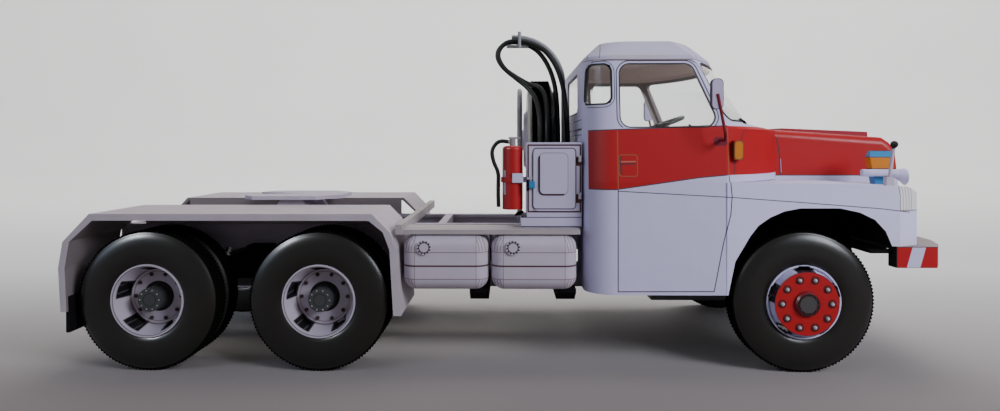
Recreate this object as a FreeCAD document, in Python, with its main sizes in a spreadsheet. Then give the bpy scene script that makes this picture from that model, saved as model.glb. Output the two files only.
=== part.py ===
import FreeCAD, Part
import math
import os
import re
import Sketcher
from FreeCAD import Vector

# A card scale model of a bonneted three-axle tractor unit, in millimetres at its own size.
# +X points forward, +Y to the left, +Z up. The origin is on the ground under the middle of the box.
# Places along the model are given from the front axle's line, which front_line puts in the frame.

os.makedirs("parts", exist_ok=True)
doc = FreeCAD.newDocument("TractorUnit")

sizes = {
    # running gear
    "wheelbase": 115.3,
    "bogie_spacing": 41.3,
    "front_overhang": 37.5,
    "rear_overhang": 20.4,
    "tyre_radius": 16.94,
    "tyre_width": 7.2,
    "tread_width": 6.0,
    "tyre_bore": 8.6,
    "bead_width": 5.6,
    "sidewall_rise": 2.6,
    "front_tyre_face": 36.9,
    "rear_tyre_face": 37.5,
    "twin_gap": 0.8,
    "rim_wall": 0.6,
    "rim_lip": 0.4,
    "rim_inset": 0.3,
    "dish_depth": 6.0,
    "dish_radius": 6.7,
    "front_disc_radius": 7.55,
    "front_disc_stand": 1.8,
    "slot_count": 5,
    "slot_length": 3.0,
    "slot_width": 1.1,
    "slot_round_share": 0.45,
    "front_hub_recess": 1.6,
    "rear_hub_recess": 0.5,
    "hub_cap_wall": 1.2,
    "rim_flange": 0.2,
    "hub_radius": 2.85,
    "hub_step": 1.3,
    "front_hub_radius": 2.95,
    "front_hub_stand": 0.9,
    "pin_radius": 1.2,
    "pin_clearance": 0.05,
    "wheel_gap": 0.35,
    "axle_tube_radius": 2.3,
    "axle_housing_radius": 6.0,
    "axle_housing_length": 9.0,
    "knuckle_depth": 5.0,
    "knuckle_height": 8.0,
    "knuckle_length": 6.0,
    "steering_rod_radius": 0.7,
    "steering_rod_set_back": 7.0,
    "steering_arm_width": 1.2,
    # frame
    "tube_radius": 3.6,
    "tube_front": 24.0,
    "gearbox_length": 34.0,
    "gearbox_width": 13.0,
    "gearbox_bottom": 10.8,
    "gearbox_front": 4.0,
    "gearbox_top": 24.0,
    "rail_top": 33.0,
    "rail_height": 6.4,
    "rail_outer": 14.5,
    "rail_flange": 2.4,
    "rail_web": 0.9,
    "rail_front": 27.5,
    "rail_rear_inset": 2.0,
    "member_thickness": 2.2,
    "member_front": 22.0,
    "member_cab": 48.0,
    "member_tank": 88.0,
    "member_rear": 4.0,
    "spring_width": 3.0,
    "spring_tip": 1.2,
    "spring_clamp": 6.0,
    "spring_eye": 1.6,
    "spring_offset": 17.0,
    # tanks and what holds them
    "tank_bottom": 19.5,
    "tank_height": 13.4,
    "tank_left_height": 10.8,
    "tank_outer": 37.2,
    "tank_inner": 17.2,
    "tank_length": 20.45,
    "tank_gap": 0.7,
    "tank_front": 53.6,
    "tank_round": 3.2,
    "tank_cap_radius": 1.75,
    "tank_cap_stand": 0.5,
    "tank_cap_place": 5.2,
    "tank_cap_drop": 3.0,
    "tank_shelf": 1.1,
    "tank_shelf_outer": 36.1,
    "tank_shelf_inner": 25.0,
    "tank_shelf_end": 0.8,
    "beam_width": 1.6,
    "beam_height": 2.3,
    "beam_outer": 37.3,
    "bracket_width": 4.6,
    "bracket_plate": 0.9,
    "bracket_bottom": 16.2,
    "bracket_haunch": 13.0,
    # rear mudguards
    "card": 0.8,
    "guard_outer": 38.75,
    "guard_inner": 13.0,
    "guard_top": 38.0,
    "guard_rear_bottom": 14.6,
    "guard_rear_foot": 0.5,
    "guard_clearance": 0.1,
    "guard_slope_share": 0.45,
    "guard_rear_knee": 25.0,
    "guard_rear_lean": 1.1,
    "guard_rear_hip": 31.3,
    "guard_rear_slope": 7.5,
    "guard_front_slope": 5.8,
    "guard_front_hip": 33.7,
    "guard_front_hip_set": 2.7,
    "guard_front_knee": 29.5,
    "guard_front_lean": 1.1,
    "guard_front": 95.3,
    "guard_front_bottom": 13.9,
    "guard_lip": 1.6,
    "flap_bottom": 9.5,
    "flap_top": 18.0,
    "flap_inner": 23.0,
    "flap_outer": 37.9,
    # fifth wheel
    "plate_centre": 130.0,
    "plate_length": 26.5,
    "plate_width": 24.0,
    "plate_top": 40.3,
    "plate_thickness": 1.0,
    "plate_front_round": 6.0,
    "plate_rear_round": 3.0,
    "pin_hole_radius": 0.85,
    "throat_width": 1.3,
    "throat_mouth": 9.0,
    "pedestal_length": 14.0,
    "pedestal_top_length": 6.0,
    "pedestal_width": 2.2,
    "pedestal_offset": 8.0,
    "spindle_radius": 0.9,
    "throat_depth": 2.5,
    # tool box and extinguisher
    "box_rear": 65.4,
    "box_front": 52.0,
    "box_bottom": 36.5,
    "box_top": 54.9,
    "box_outer": 31.3,
    "box_inner": 18.2,
    "box_door_stand": 0.35,
    "box_door_margin": 1.5,
    "box_door_round": 1.6,
    "box_panel_rear": 3.0,
    "box_panel_front": 3.4,
    "box_panel_low": 5.6,
    "box_panel_high": 2.6,
    "box_panel_stand": 0.4,
    "plinth_rear": 66.8,
    "bottle_radius": 2.55,
    "bottle_centre": 68.9,
    "bottle_bottom": 38.3,
    "bottle_height": 15.75,
    "bottle_offset": 28.3,
    "bottle_shoulder_round": 0.9,
    "valve_height": 1.7,
    "valve_radius": 0.75,
    "band_height": 1.3,
    "band_wall": 0.35,
    "band_bottom": 45.0,
    "band_tab_half": 1.4,
    "lever_thickness": 0.5,
    "bottle_hose_radius": 0.5,
    "bottle_hose_reach": 3.5,
    "bottle_hose_bulge": 5.3,
    "bottle_hose_turn": 1.9,
    "bottle_hose_return": 4.8,
    "bottle_hose_drop": 7.5,
    "lever_length": 3.0,
    # spare wheel
    "spare_centre": 61.0,
    "spare_height": 55.7,
    "spare_disc_stand": 1.2,
    "spare_hub_stand": 1.2,
    "carrier_wire": 0.65,
    "carrier_half_width": 6.5,
    "carrier_top": 69.8,
    "carrier_rear": 66.7,
    "carrier_front": 56.4,
    "cradle_thickness": 1.4,
    "cradle_half_width": 13.0,
    "cradle_gap": 0.1,
    # hose post
    "post_radius": 0.6,
    "post_place": 54.8,
    "post_offset": 9.4,
    "post_foot_half": 2.1,
    "post_top": 83.9,
    "post_tip": 69.0,
    "post_bend_radius": 13.0,
    "clamp_place": 66.9,
    "clamp_bar_rear": 70.4,
    "clamp_bar_front": 64.4,
    "clamp_drop": 2.55,
    "clamp_rise": 1.6,
    "clamp_pin_offset": 11.7,
    "clamp_radius": 0.45,
    "clamp_bar_radius": 0.36,
    "hose_diameter": 1.3,
    # cab
    "cab_wall": 0.8,
    "cab_rear": 51.5,
    "cab_front": 18.4,
    "cab_bottom": 18.7,
    "cab_half_low": 37.4,
    "cab_half_waist": 37.2,
    "cab_half_belt": 35.9,
    "cab_half_sill": 35.6,
    "cab_half_eave": 33.2,
    "cab_waist": 45.4,
    "cab_belt": 58.0,
    "cab_sill": 59.7,
    "cab_eave": 74.8,
    "cab_corner": 7.0,
    "cowl_nose": 4.1,
    "screen_foot": 4.0,
    "screen_head": 14.0,
    "screen_foot_side": 18.5,
    "screen_head_side": 25.3,
    "roof_peak": 79.9,
    "roof_inset": 4.6,
    "pillar_split": 1.0,
    "back_split": 44.6,
    "door_window_rear": 43.15,
    "door_window_bottom": 58.6,
    "door_window_top": 73.7,
    "door_window_foot": 19.6,
    "door_window_head": 26.1,
    "door_window_round": 2.4,
    "corner_window_front": 45.4,
    "corner_window_bottom": 64.3,
    "corner_window_top": 73.6,
    "corner_window_inner": 29.6,
    "rear_window_half": 15.2,
    "rear_window_bottom": 63.0,
    "rear_window_top": 72.8,
    "screen_bottom": 60.4,
    "screen_top": 74.0,
    "screen_half_low": 33.9,
    "screen_half_top": 31.4,
    "screen_round": 2.0,
    "film": 0.25,
    "floor_thickness": 0.8,
    "cab_reach": 6.0,
    "tunnel_half": 16.2,
    # cab inside
    "seat_width": 15.0,
    "seat_length": 14.0,
    "seat_height": 7.0,
    "seat_back_height": 15.0,
    "seat_back_thickness": 3.5,
    "seat_offset": 17.5,
    "seat_rear": 46.0,
    "dash_rear": 23.0,
    "dash_drop": 1.2,
    "dash_height": 7.0,
    "column_radius": 0.8,
    "column_length": 9.0,
    "steering_wheel_radius": 6.4,
    "steering_wheel_rim": 0.6,
    "steering_lean": 20.0,
    "steering_place": 21.6,
    "steering_height": 60.6,
    # bonnet and front
    "bonnet_half": 17.2,
    "bonnet_rear_top": 58.0,
    "bonnet_front_top": 56.2,
    "bonnet_front": 28.8,
    "bonnet_nose_high": 30.6,
    "bonnet_nose_high_top": 55.0,
    "bonnet_nose_mid": 32.3,
    "bonnet_nose_mid_top": 53.2,
    "bonnet_nose": 33.4,
    "bonnet_round": 2.1,
    "bonnet_tuck": 2.0,
    "bonnet_back_rise": 1.6,
    "bonnet_slope_share": 0.6,
    "bonnet_open": 6.0,
    "hump_half": 9.0,
    "hump_rise": 1.6,
    "hump_rear": 5.0,
    "hump_front": 28.5,
    "grille_half": 16.4,
    "grille_thickness": 1.0,
    "grille_opening_half": 12.0,
    "grille_opening_bottom": 33.4,
    "grille_opening_top": 42.4,
    "slat_count": 6,
    "slat_thickness": 0.55,
    "wing_top_rear": 45.4,
    "wing_crown": 11.7,
    "wing_top_crown": 45.0,
    "wing_top_front": 44.3,
    "wing_brow": 28.0,
    "wing_brow_height": 42.5,
    "wing_nose_high": 29.3,
    "wing_nose_high_height": 40.8,
    "wing_foot": 28.9,
    "wing_outer": 37.5,
    "wing_nose_start": 24.4,
    "wing_nose": 29.9,
    "wing_nose_drop": 39.0,
    "wing_corner": 21.9,
    "wing_corner_mid": 27.2,
    "wing_corner_mid_side": 35.0,
    "wing_corner_front": 30.0,
    "wing_corner_front_side": 29.5,
    "wing_inner_front": 24.0,
    "arch_rear_foot": 18.1,
    "arch_rear_low": 26.7,
    "arch_rear_low_set": 16.5,
    "arch_rear_mid": 32.7,
    "arch_rear_mid_set": 13.0,
    "arch_rear_upper": 35.2,
    "arch_rear_upper_set": 11.1,
    "arch_rear_high": 37.1,
    "arch_rear_high_set": 8.4,
    "arch_rear_top": 38.6,
    "arch_rear_top_set": 5.0,
    "arch_top": 39.3,
    "arch_top_rear": 1.2,
    "arch_top_front": 8.0,
    "arch_front_high": 38.3,
    "arch_front_high_set": 12.6,
    "arch_front_upper": 36.6,
    "arch_front_upper_set": 16.1,
    "arch_front_mid": 33.9,
    "arch_front_mid_set": 18.6,
    "arch_front_foot": 20.1,
    "arch_slope_share": 0.7,
    "liner_inner": 18.6,
    "liner_wall_bottom": 21.5,
    "liner_foot_bottom": 28.6,
    "liner_foot_rear": 15.4,
    "liner_gap": 0.1,
    "bumper_bottom": 25.4,
    "bumper_top": 30.4,
    "bumper_outer": 38.1,
    "bumper_end": 20.8,
    "bumper_end_front": 30.3,
    "bumper_knee": 33.9,
    "bumper_knee_front": 33.0,
    "bumper_shoulder": 25.8,
    "bumper_shoulder_front": 35.9,
    "bumper_flat": 19.9,
    "bumper_flat_front": 36.5,
    "bumper_wall": 1.0,
    "bumper_return": 3.6,
    "bumper_back": 28.0,
    "bumper_arm_width": 2.2,
    # lamps, rods and mirrors
    "horn_rear": 16.6,
    "horn_neck": 23.5,
    "horn_flare": 25.2,
    "horn_mouth": 27.0,
    "horn_offset": 30.0,
    "horn_height": 47.35,
    "horn_dip": 0.95,
    "horn_neck_radius": 0.87,
    "horn_flare_radius": 1.2,
    "horn_mouth_radius": 2.05,
    "lamp_rear": 19.3,
    "lamp_front": 25.1,
    "lamp_taper": 1.5,
    "lamp_depth": 2.6,
    "lamp_gap": 0.06,
    "lamp_top": 52.8,
    "lamp_facet": 1.7,
    "turn_lamp_place": 15.6,
    "turn_lamp_bottom": 50.7,
    "turn_lamp_height": 4.5,
    "turn_lamp_length": 2.1,
    "turn_lamp_outer": 37.0,
    "turn_lamp_depth": 4.0,
    "headlamp_offset": 24.0,
    "headlamp_height": 35.0,
    "headlamp_radius": 2.9,
    "headlamp_back": 26.9,
    "headlamp_length": 3.4,
    "rod_radius": 0.38,
    "rod_place": 19.9,
    "rod_lean": 1.3,
    "rod_offset": 36.0,
    "rod_top": 54.3,
    "rod_block": 1.6,
    "rod_block_top": 46.6,
    "rod_block_height": 3.3,
    "ball_radius": 0.87,
    "mirror_place": 21.8,
    "mirror_height": 66.0,
    "mirror_offset": 40.2,
    "mirror_width": 2.7,
    "mirror_length": 7.1,
    "mirror_thickness": 1.6,
    "mirror_round": 1.1,
    "arm_radius": 0.35,
    "arm_foot": 19.7,
    "arm_foot_height": 55.3,
    "overrun": 5.0,
}

sheet = doc.addObject("Spreadsheet::Sheet", "Sizes")
for row, (alias, number) in enumerate(sizes.items(), 1):
    sheet.set(f"A{row}", alias)
    sheet.set(f"B{row}", str(number))
    sheet.setAlias(f"B{row}", alias)
doc.recompute()


def text(words):
    """Turns plain words such as rail_top - card into an expression on the sheet's cells."""
    return re.sub(r"[a-z_]+", lambda word: "Sizes." + word[0] if word[0] in sizes else word[0], words)


def num(words):
    """The value in millimetres of such words."""
    return float(sheet.evalExpression(text(words)))


front_line = "(wheelbase + bogie_spacing + rear_overhang - front_overhang) / 2"
middle_line = f"{front_line} - wheelbase"
rear_line = f"{middle_line} - bogie_spacing"


def ahead(words):
    """A place so far in front of the front axle's line."""
    return f"{front_line} + ({words})"


def behind(words):
    """A place so far behind the front axle's line."""
    return f"{front_line} - ({words})"


# Helpers for the document's objects

kept = []


def keep(piece, name):
    """Names a finished sub-part, which gets a file of its own."""
    piece.Label = name
    kept.append(piece)
    return piece


def place_at(piece, x="0", y="0", z="0"):
    for axis, words in (("x", x), ("y", y), ("z", z)):
        piece.setExpression(f"Placement.Base.{axis}", text(words))
    return piece


def box(name, low, high):
    """A box between two corners, each given as three sizes in words."""
    piece = doc.addObject("Part::Box", name)
    for side, start, end in zip(("Length", "Width", "Height"), low, high):
        piece.setExpression(side, text(f"({end}) - ({start})"))
    return place_at(piece, *low)


turns = {
    "x": FreeCAD.Rotation(Vector(0, 1, 0), 90),
    "y": FreeCAD.Rotation(Vector(1, 0, 0), -90),
    "z": FreeCAD.Rotation(),
}


def rod(name, direction, start, radius, length):
    """A round bar that starts at a point and runs along +x, +y or +z."""
    piece = doc.addObject("Part::Cylinder", name)
    piece.Placement.Rotation = turns[direction]
    piece.setExpression("Radius", text(radius))
    piece.setExpression("Height", text(length))
    return place_at(piece, *start)


def fuse(name, *pieces):
    joined = doc.addObject("Part::MultiFuse", name)
    joined.Shapes = list(pieces)
    joined.Refine = True
    return joined


def cut(name, base, tool):
    result = doc.addObject("Part::Cut", name)
    result.Base = base
    result.Tool = tool
    return result


def common(name, one, other):
    result = doc.addObject("Part::Common", name)
    result.Base = one
    result.Tool = other
    return result


def compound(name, *pieces):
    group = doc.addObject("Part::Compound", name)
    group.Links = list(pieces)
    return group


def mirrored(name, piece):
    """The same piece on the other side of the model."""
    other = doc.addObject("Part::Mirroring", name)
    other.Source = piece
    other.Normal = (0, 1, 0)
    return other


def both_sides(name, piece):
    return compound(name, piece, mirrored(name + "_left", piece))


def shaped(name, shape):
    """A piece whose form comes from Part's own functions."""
    piece = doc.addObject("Part::Feature", name)
    piece.Shape = shape
    return piece


def origin_item(body, role):
    return next(item for item in body.Origin.OriginFeatures if item.Role == role)


def new_sketch(body, name, plane, offset="0"):
    sketch = body.newObject("Sketcher::SketchObject", name)
    sketch.AttachmentSupport = (origin_item(body, plane), [""])
    sketch.MapMode = "FlatFace"
    sketch.setExpression("AttachmentOffset.Base.z", text(offset))
    return sketch


def fix_point(sketch, index, spot, across, up):
    """Ties a point of the sketch to the sheet."""
    for kind, words in (("DistanceX", across), ("DistanceY", up)):
        number = sketch.addConstraint(Sketcher.Constraint(kind, -1, 1, index, spot, num(words)))
        sketch.setExpression(f"Constraints[{number}]", text(words))


def draw_outline(sketch, points):
    """A closed outline of straight edges through points given in words."""
    count = len(points)
    first = sketch.GeometryCount
    places = [Vector(num(across), num(up), 0) for across, up in points]
    for index in range(count):
        sketch.addGeometry(Part.LineSegment(places[index], places[(index + 1) % count]), False)
    for index in range(count):
        following = first + (index + 1) % count
        sketch.addConstraint(Sketcher.Constraint("Coincident", first + index, 2, following, 1))
    for index, (across, up) in enumerate(points):
        fix_point(sketch, first + index, 1, across, up)


def draw_circle(sketch, across, up, radius):
    circle = Part.Circle(Vector(num(across), num(up), 0), Vector(0, 0, 1), num(radius))
    index = sketch.addGeometry(circle, False)
    fix_point(sketch, index, 3, across, up)
    number = sketch.addConstraint(Sketcher.Constraint("Radius", index, num(radius)))
    sketch.setExpression(f"Constraints[{number}]", text(radius))


def draw_round_box(sketch, left, right, low, high, radius):
    """A rectangle with round corners."""
    x0, x1, z0, z1, r = num(left), num(right), num(low), num(high), num(radius)
    corners = [(x1 - r, z0 + r, -90), (x1 - r, z1 - r, 0), (x0 + r, z1 - r, 90), (x0 + r, z0 + r, 180)]
    lines = [(x0 + r, z0, x1 - r, z0), (x1, z0 + r, x1, z1 - r),
             (x1 - r, z1, x0 + r, z1), (x0, z1 - r, x0, z0 + r)]
    first = sketch.GeometryCount
    for (ax, az, bx, bz), (cx, cz, start) in zip(lines, corners):
        sketch.addGeometry(Part.LineSegment(Vector(ax, az, 0), Vector(bx, bz, 0)), False)
        circle = Part.Circle(Vector(cx, cz, 0), Vector(0, 0, 1), r)
        arc = Part.ArcOfCircle(circle, math.radians(start), math.radians(start + 90))
        sketch.addGeometry(arc, False)
    for step in range(4):
        line, arc = first + 2 * step, first + 2 * step + 1
        following = first + (2 * step + 2) % 8
        sketch.addConstraint(Sketcher.Constraint("Tangent", line, 2, arc, 1))
        sketch.addConstraint(Sketcher.Constraint("Tangent", arc, 2, following, 1))
        sketch.addConstraint(Sketcher.Constraint("Horizontal" if step % 2 == 0 else "Vertical", line))
        if step:
            sketch.addConstraint(Sketcher.Constraint("Equal", first + 1, arc))
    number = sketch.addConstraint(Sketcher.Constraint("Radius", first + 1, r))
    sketch.setExpression(f"Constraints[{number}]", text(radius))
    sides = [("DistanceY", first, low, z0), ("DistanceX", first + 2, right, x1),
             ("DistanceY", first + 4, high, z1), ("DistanceX", first + 6, left, x0)]
    for kind, index, words, value in sides:
        number = sketch.addConstraint(Sketcher.Constraint(kind, -1, 1, index, 1, value))
        sketch.setExpression(f"Constraints[{number}]", text(words))


def add_pad(body, sketch, length):
    pad = body.newObject("PartDesign::Pad", sketch.Name + "_pad")
    pad.Profile = (sketch, [""])
    pad.setExpression("Length", text(length))
    return pad


def add_pocket(body, sketch, length):
    """Cuts away against the sketch's normal: from the outside in, seen from the plane's front."""
    pocket = body.newObject("PartDesign::Pocket", sketch.Name + "_pocket")
    pocket.Profile = (sketch, [""])
    pocket.setExpression("Length", text(length))
    return pocket


def padded(name, plane, start, length, points):
    """A body with one pad, from start along the plane's normal. XZ looks along +Y, so its normal is -Y."""
    body = doc.addObject("PartDesign::Body", name)
    sketch = new_sketch(body, name + "_outline", plane, start)
    draw_outline(sketch, points)
    add_pad(body, sketch, length)
    return body


def revolved(name, points):
    """A body turned about the Y axis, its outline given as place along the axis and radius."""
    body = doc.addObject("PartDesign::Body", name)
    sketch = new_sketch(body, name + "_outline", "YZ_Plane")
    draw_outline(sketch, points)
    turn = body.newObject("PartDesign::Revolution", name + "_turn")
    turn.Profile = (sketch, [""])
    turn.ReferenceAxis = (sketch, ["H_Axis"])
    turn.Angle = 360
    return body


def round_edges(body, radius, wanted):
    """Rounds the edges of the body's last feature that the test picks by middle and direction."""
    doc.recompute()
    tip = body.Tip
    names = []
    for number, edge in enumerate(tip.Shape.Edges, 1):
        middle = edge.valueAt((edge.FirstParameter + edge.LastParameter) / 2)
        run = edge.Vertexes[-1].Point - edge.Vertexes[0].Point
        if wanted(middle, run.normalize() if run.Length else run):
            names.append(f"Edge{number}")
    rounding = body.newObject("PartDesign::Fillet", body.Name + "_round")
    rounding.Base = (tip, names)
    rounding.setExpression("Radius", text(radius))
    return rounding


# Wheels: each is made at the origin with its outer tyre face on y = 0 and its inside towards +y,
# then moved to the right side, and mirrored for the left side

def tyre(name, start="0"):
    """A single tyre: flat tread, square shoulders, leaning beads."""
    return revolved(name, [
        (f"{start} + (tyre_width - bead_width) / 2", "tyre_bore"),
        (f"{start} + (tyre_width + bead_width) / 2", "tyre_bore"),
        (f"{start} + tyre_width", "tyre_bore + sidewall_rise"),
        (f"{start} + tyre_width", "tyre_radius - sidewall_rise"),
        (f"{start} + (tyre_width + tread_width) / 2", "tyre_radius"),
        (f"{start} + (tyre_width - tread_width) / 2", "tyre_radius"),
        (f"{start}", "tyre_radius - sidewall_rise"),
        (f"{start}", "tyre_bore + sidewall_rise"),
    ])


def hand_slots(body, name, radius):
    """Rounded openings round the wheel's cone."""
    sketch = new_sketch(body, name + "_slot", "XZ_Plane", "overrun")
    draw_round_box(sketch, "-slot_length / 2", "slot_length / 2", f"{radius} - slot_width / 2",
                   f"{radius} + slot_width / 2", "slot_width * slot_round_share")
    pocket = add_pocket(body, sketch, "overrun + rim_inset + dish_depth + rim_wall + rim_lip")
    pattern = body.newObject("PartDesign::PolarPattern", name + "_slots")
    pattern.Originals = [pocket]
    pattern.Axis = (origin_item(body, "Y_Axis"), [""])
    pattern.Angle = 360
    pattern.setExpression("Occurrences", text("slot_count"))
    body.Tip = pattern


twin_width = "(2 * tyre_width + twin_gap)"
front_disc = "(rim_inset - front_disc_stand)"
front_hub_end = "(tyre_width - front_hub_recess)"
rear_hub_end = f"({twin_width} - rear_hub_recess)"


def front_rim(name):
    """Barrel with two lips, a cone out to the raised disc, and a hub with a blind bore."""
    body = revolved(name, [
        (f"{front_disc} - front_hub_stand", "0"),
        (f"{front_disc} - front_hub_stand", "front_hub_radius - rim_lip"),
        (f"{front_disc} - front_hub_stand + rim_lip", "front_hub_radius"),
        (front_disc, "front_hub_radius"),
        (front_disc, "front_disc_radius"),
        ("rim_inset + rim_wall", "tyre_bore - rim_wall"),
        ("rim_inset", "tyre_bore - rim_lip / 2"),
        ("rim_inset", "tyre_bore + rim_flange"),
        ("rim_inset + rim_lip", "tyre_bore + rim_flange"),
        ("rim_inset + rim_lip", "tyre_bore"),
        ("tyre_width - rim_inset - rim_lip", "tyre_bore"),
        ("tyre_width - rim_inset - rim_lip", "tyre_bore + rim_flange"),
        ("tyre_width - rim_inset", "tyre_bore + rim_flange"),
        ("tyre_width - rim_inset", "tyre_bore - rim_wall"),
        ("rim_inset + 2.5 * rim_wall", "tyre_bore - rim_wall"),
        (f"{front_disc} + rim_wall", "front_disc_radius - rim_wall"),
        (f"{front_disc} + rim_wall", "front_hub_radius"),
        (front_hub_end, "front_hub_radius"),
        (front_hub_end, "pin_radius + pin_clearance"),
        (f"{front_disc} + hub_cap_wall", "pin_radius + pin_clearance"),
        (f"{front_disc} + hub_cap_wall", "0"),
    ])
    hand_slots(body, name, "(front_disc_radius + slot_width * slot_round_share)")
    return body


def rear_rim(name):
    """Barrel for both tyres, a deep dish to the disc, and a hub that stands out of the dish."""
    body = revolved(name, [
        ("rim_inset + hub_step", "0"),
        ("rim_inset + hub_step", "hub_radius"),
        ("rim_inset + dish_depth", "hub_radius"),
        ("rim_inset + dish_depth", "dish_radius"),
        ("rim_inset + rim_lip + rim_wall", "tyre_bore - rim_wall"),
        ("rim_inset", "tyre_bore - rim_lip / 2"),
        ("rim_inset", "tyre_bore + rim_flange"),
        ("rim_inset + rim_lip", "tyre_bore + rim_flange"),
        ("rim_inset + rim_lip", "tyre_bore"),
        (f"{twin_width} - rim_inset - rim_lip", "tyre_bore"),
        (f"{twin_width} - rim_inset - rim_lip", "tyre_bore + rim_flange"),
        (f"{twin_width} - rim_inset", "tyre_bore + rim_flange"),
        (f"{twin_width} - rim_inset", "tyre_bore - rim_wall"),
        ("rim_inset + dish_depth + 2 * rim_wall", "tyre_bore - rim_wall"),
        ("rim_inset + dish_depth + rim_wall", "dish_radius"),
        ("rim_inset + dish_depth + rim_wall", "hub_radius"),
        (rear_hub_end, "hub_radius"),
        (rear_hub_end, "pin_radius + pin_clearance"),
        ("rim_inset + hub_step + hub_cap_wall", "pin_radius + pin_clearance"),
        ("rim_inset + hub_step + hub_cap_wall", "0"),
    ])
    hand_slots(body, name, "((dish_radius + tyre_bore - rim_wall) / 2)")
    return body


def stand_wheel(name, pieces, line, face):
    """Puts a wheel's nodes on the right side and their mirror images on the left."""
    for kind, piece in pieces.items():
        place_at(piece, line, f"-{face}", "tyre_radius")
        keep(piece, f"{name}_right_{kind}")
        keep(mirrored(f"{name}_left_{kind}", piece), f"{name}_left_{kind}")


def build_wheels():
    front = {"tyre": tyre("front_tyre"), "rim": front_rim("front_rim")}
    stand_wheel("wheel_front", front, front_line, "front_tyre_face")
    for name, line in (("middle", middle_line), ("rear", rear_line)):
        outer = tyre(f"{name}_outer_tyre")
        inner = tyre(f"{name}_inner_tyre", "tyre_width + twin_gap")
        pair = {"tyres": compound(f"{name}_tyres", outer, inner), "rim": rear_rim(f"{name}_rim")}
        stand_wheel(f"wheel_{name}", pair, line, "rear_tyre_face")


# Axles: a half axle each side of the housing on the backbone, each ending in the pin that a wheel turns on

def half_axle(name, line, face, hub_end, bore_end):
    """Tube from the housing to the hub, and the pin inside the hub."""
    tube_end = f"({face} - {hub_end} - wheel_gap)"
    tube = rod(name + "_tube", "y", (line, f"-{tube_end}", "tyre_radius"), "axle_tube_radius",
               f"{tube_end} - axle_housing_length / 2")
    pin_end = f"({face} - {bore_end} - wheel_gap)"
    pin = rod(name + "_pin", "y", (line, f"-{pin_end}", "tyre_radius"), "pin_radius",
              f"{pin_end} - axle_housing_length / 2")
    return fuse(name, tube, pin)


def build_axles():
    rear_bore = "(rim_inset + hub_step + hub_cap_wall)"
    for name, line in (("middle_axle", middle_line), ("rear_axle", rear_line)):
        half = half_axle(name + "_half", line, "rear_tyre_face", rear_hub_end, rear_bore)
        keep(both_sides(name, half), name)
    knuckle_end = f"(front_tyre_face - {front_hub_end} - wheel_gap)"
    tube = rod("front_axle_half", "y", (front_line, f"-{knuckle_end} + knuckle_length", "tyre_radius"),
               "axle_tube_radius", f"{knuckle_end} - knuckle_length - gearbox_width / 2")
    keep(both_sides("front_axle", tube), "front_axle")
    build_knuckles(knuckle_end)


def build_knuckles(knuckle_end):
    """Knuckle block, pin, steering arm and the rod across, in one piece."""
    low = "tyre_radius - knuckle_height / 2"
    block = box("knuckle", (behind("knuckle_depth / 2"), f"-{knuckle_end}", low),
                (ahead("knuckle_depth / 2"), f"-{knuckle_end} + knuckle_length",
                 "tyre_radius + knuckle_height / 2"))
    pin_end = f"(front_tyre_face - {front_disc} - hub_cap_wall - wheel_gap)"
    pin = rod("knuckle_pin", "y", (front_line, f"-{pin_end}", "tyre_radius"), "pin_radius",
              f"{pin_end} - {knuckle_end} + knuckle_length / 2")
    arm_in = f"-{knuckle_end} + knuckle_length"
    rod_height = f"{low} - 2 * steering_rod_radius"
    arm = box("steering_arm", (behind("knuckle_depth / 2"), f"{arm_in} - steering_arm_width", rod_height),
              (ahead("steering_rod_set_back + steering_rod_radius"), arm_in, low))
    side = fuse("knuckle_side", block, pin, arm)
    across = rod("steering_rod", "y", (ahead("steering_rod_set_back"), arm_in, f"{low} - steering_rod_radius"),
                 "steering_rod_radius", f"2 * ({knuckle_end} - knuckle_length)")
    keep(fuse("front_knuckles", side, mirrored("knuckle_side_left", side), across), "front_knuckles")


# Frame

tube_rear = f"{rear_line} - axle_housing_radius - tube_radius"


def build_backbone():
    """Backbone tube with a housing at each axle and the gearbox behind the front axle."""
    pieces = [rod("backbone", "x", (tube_rear, "0", "tyre_radius"), "tube_radius",
                  f"{ahead('tube_front')} - ({tube_rear})")]
    for name, line in (("front", front_line), ("middle", middle_line), ("rear", rear_line)):
        pieces.append(rod(name + "_housing", "y", (line, "-axle_housing_length / 2", "tyre_radius"),
                          "axle_housing_radius", "axle_housing_length"))
    pieces.append(box("gearbox", (ahead("gearbox_front - gearbox_length"), "-gearbox_width / 2",
                                  "gearbox_bottom"),
                      (ahead("gearbox_front"), "gearbox_width / 2", "gearbox_top")))
    return keep(fuse("backbone_tube", *pieces), "backbone_tube")


def build_rails():
    """Two channels, open towards each other."""
    outer, web, tip = "-rail_outer", "-rail_outer + rail_web", "-rail_outer + rail_flange"
    low, high = "rail_top - rail_height", "rail_top"
    start = f"{rear_line} - rear_overhang + rail_rear_inset"
    rail = padded("rail_right", "YZ_Plane", start, f"{ahead('rail_front')} - ({start})", [
        (outer, low), (tip, low), (tip, f"{low} + rail_web"), (web, f"{low} + rail_web"),
        (web, f"{high} - rail_web"), (tip, f"{high} - rail_web"), (tip, high), (outer, high),
    ])
    keep(both_sides("frame_rails", rail), "frame_rails")


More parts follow.
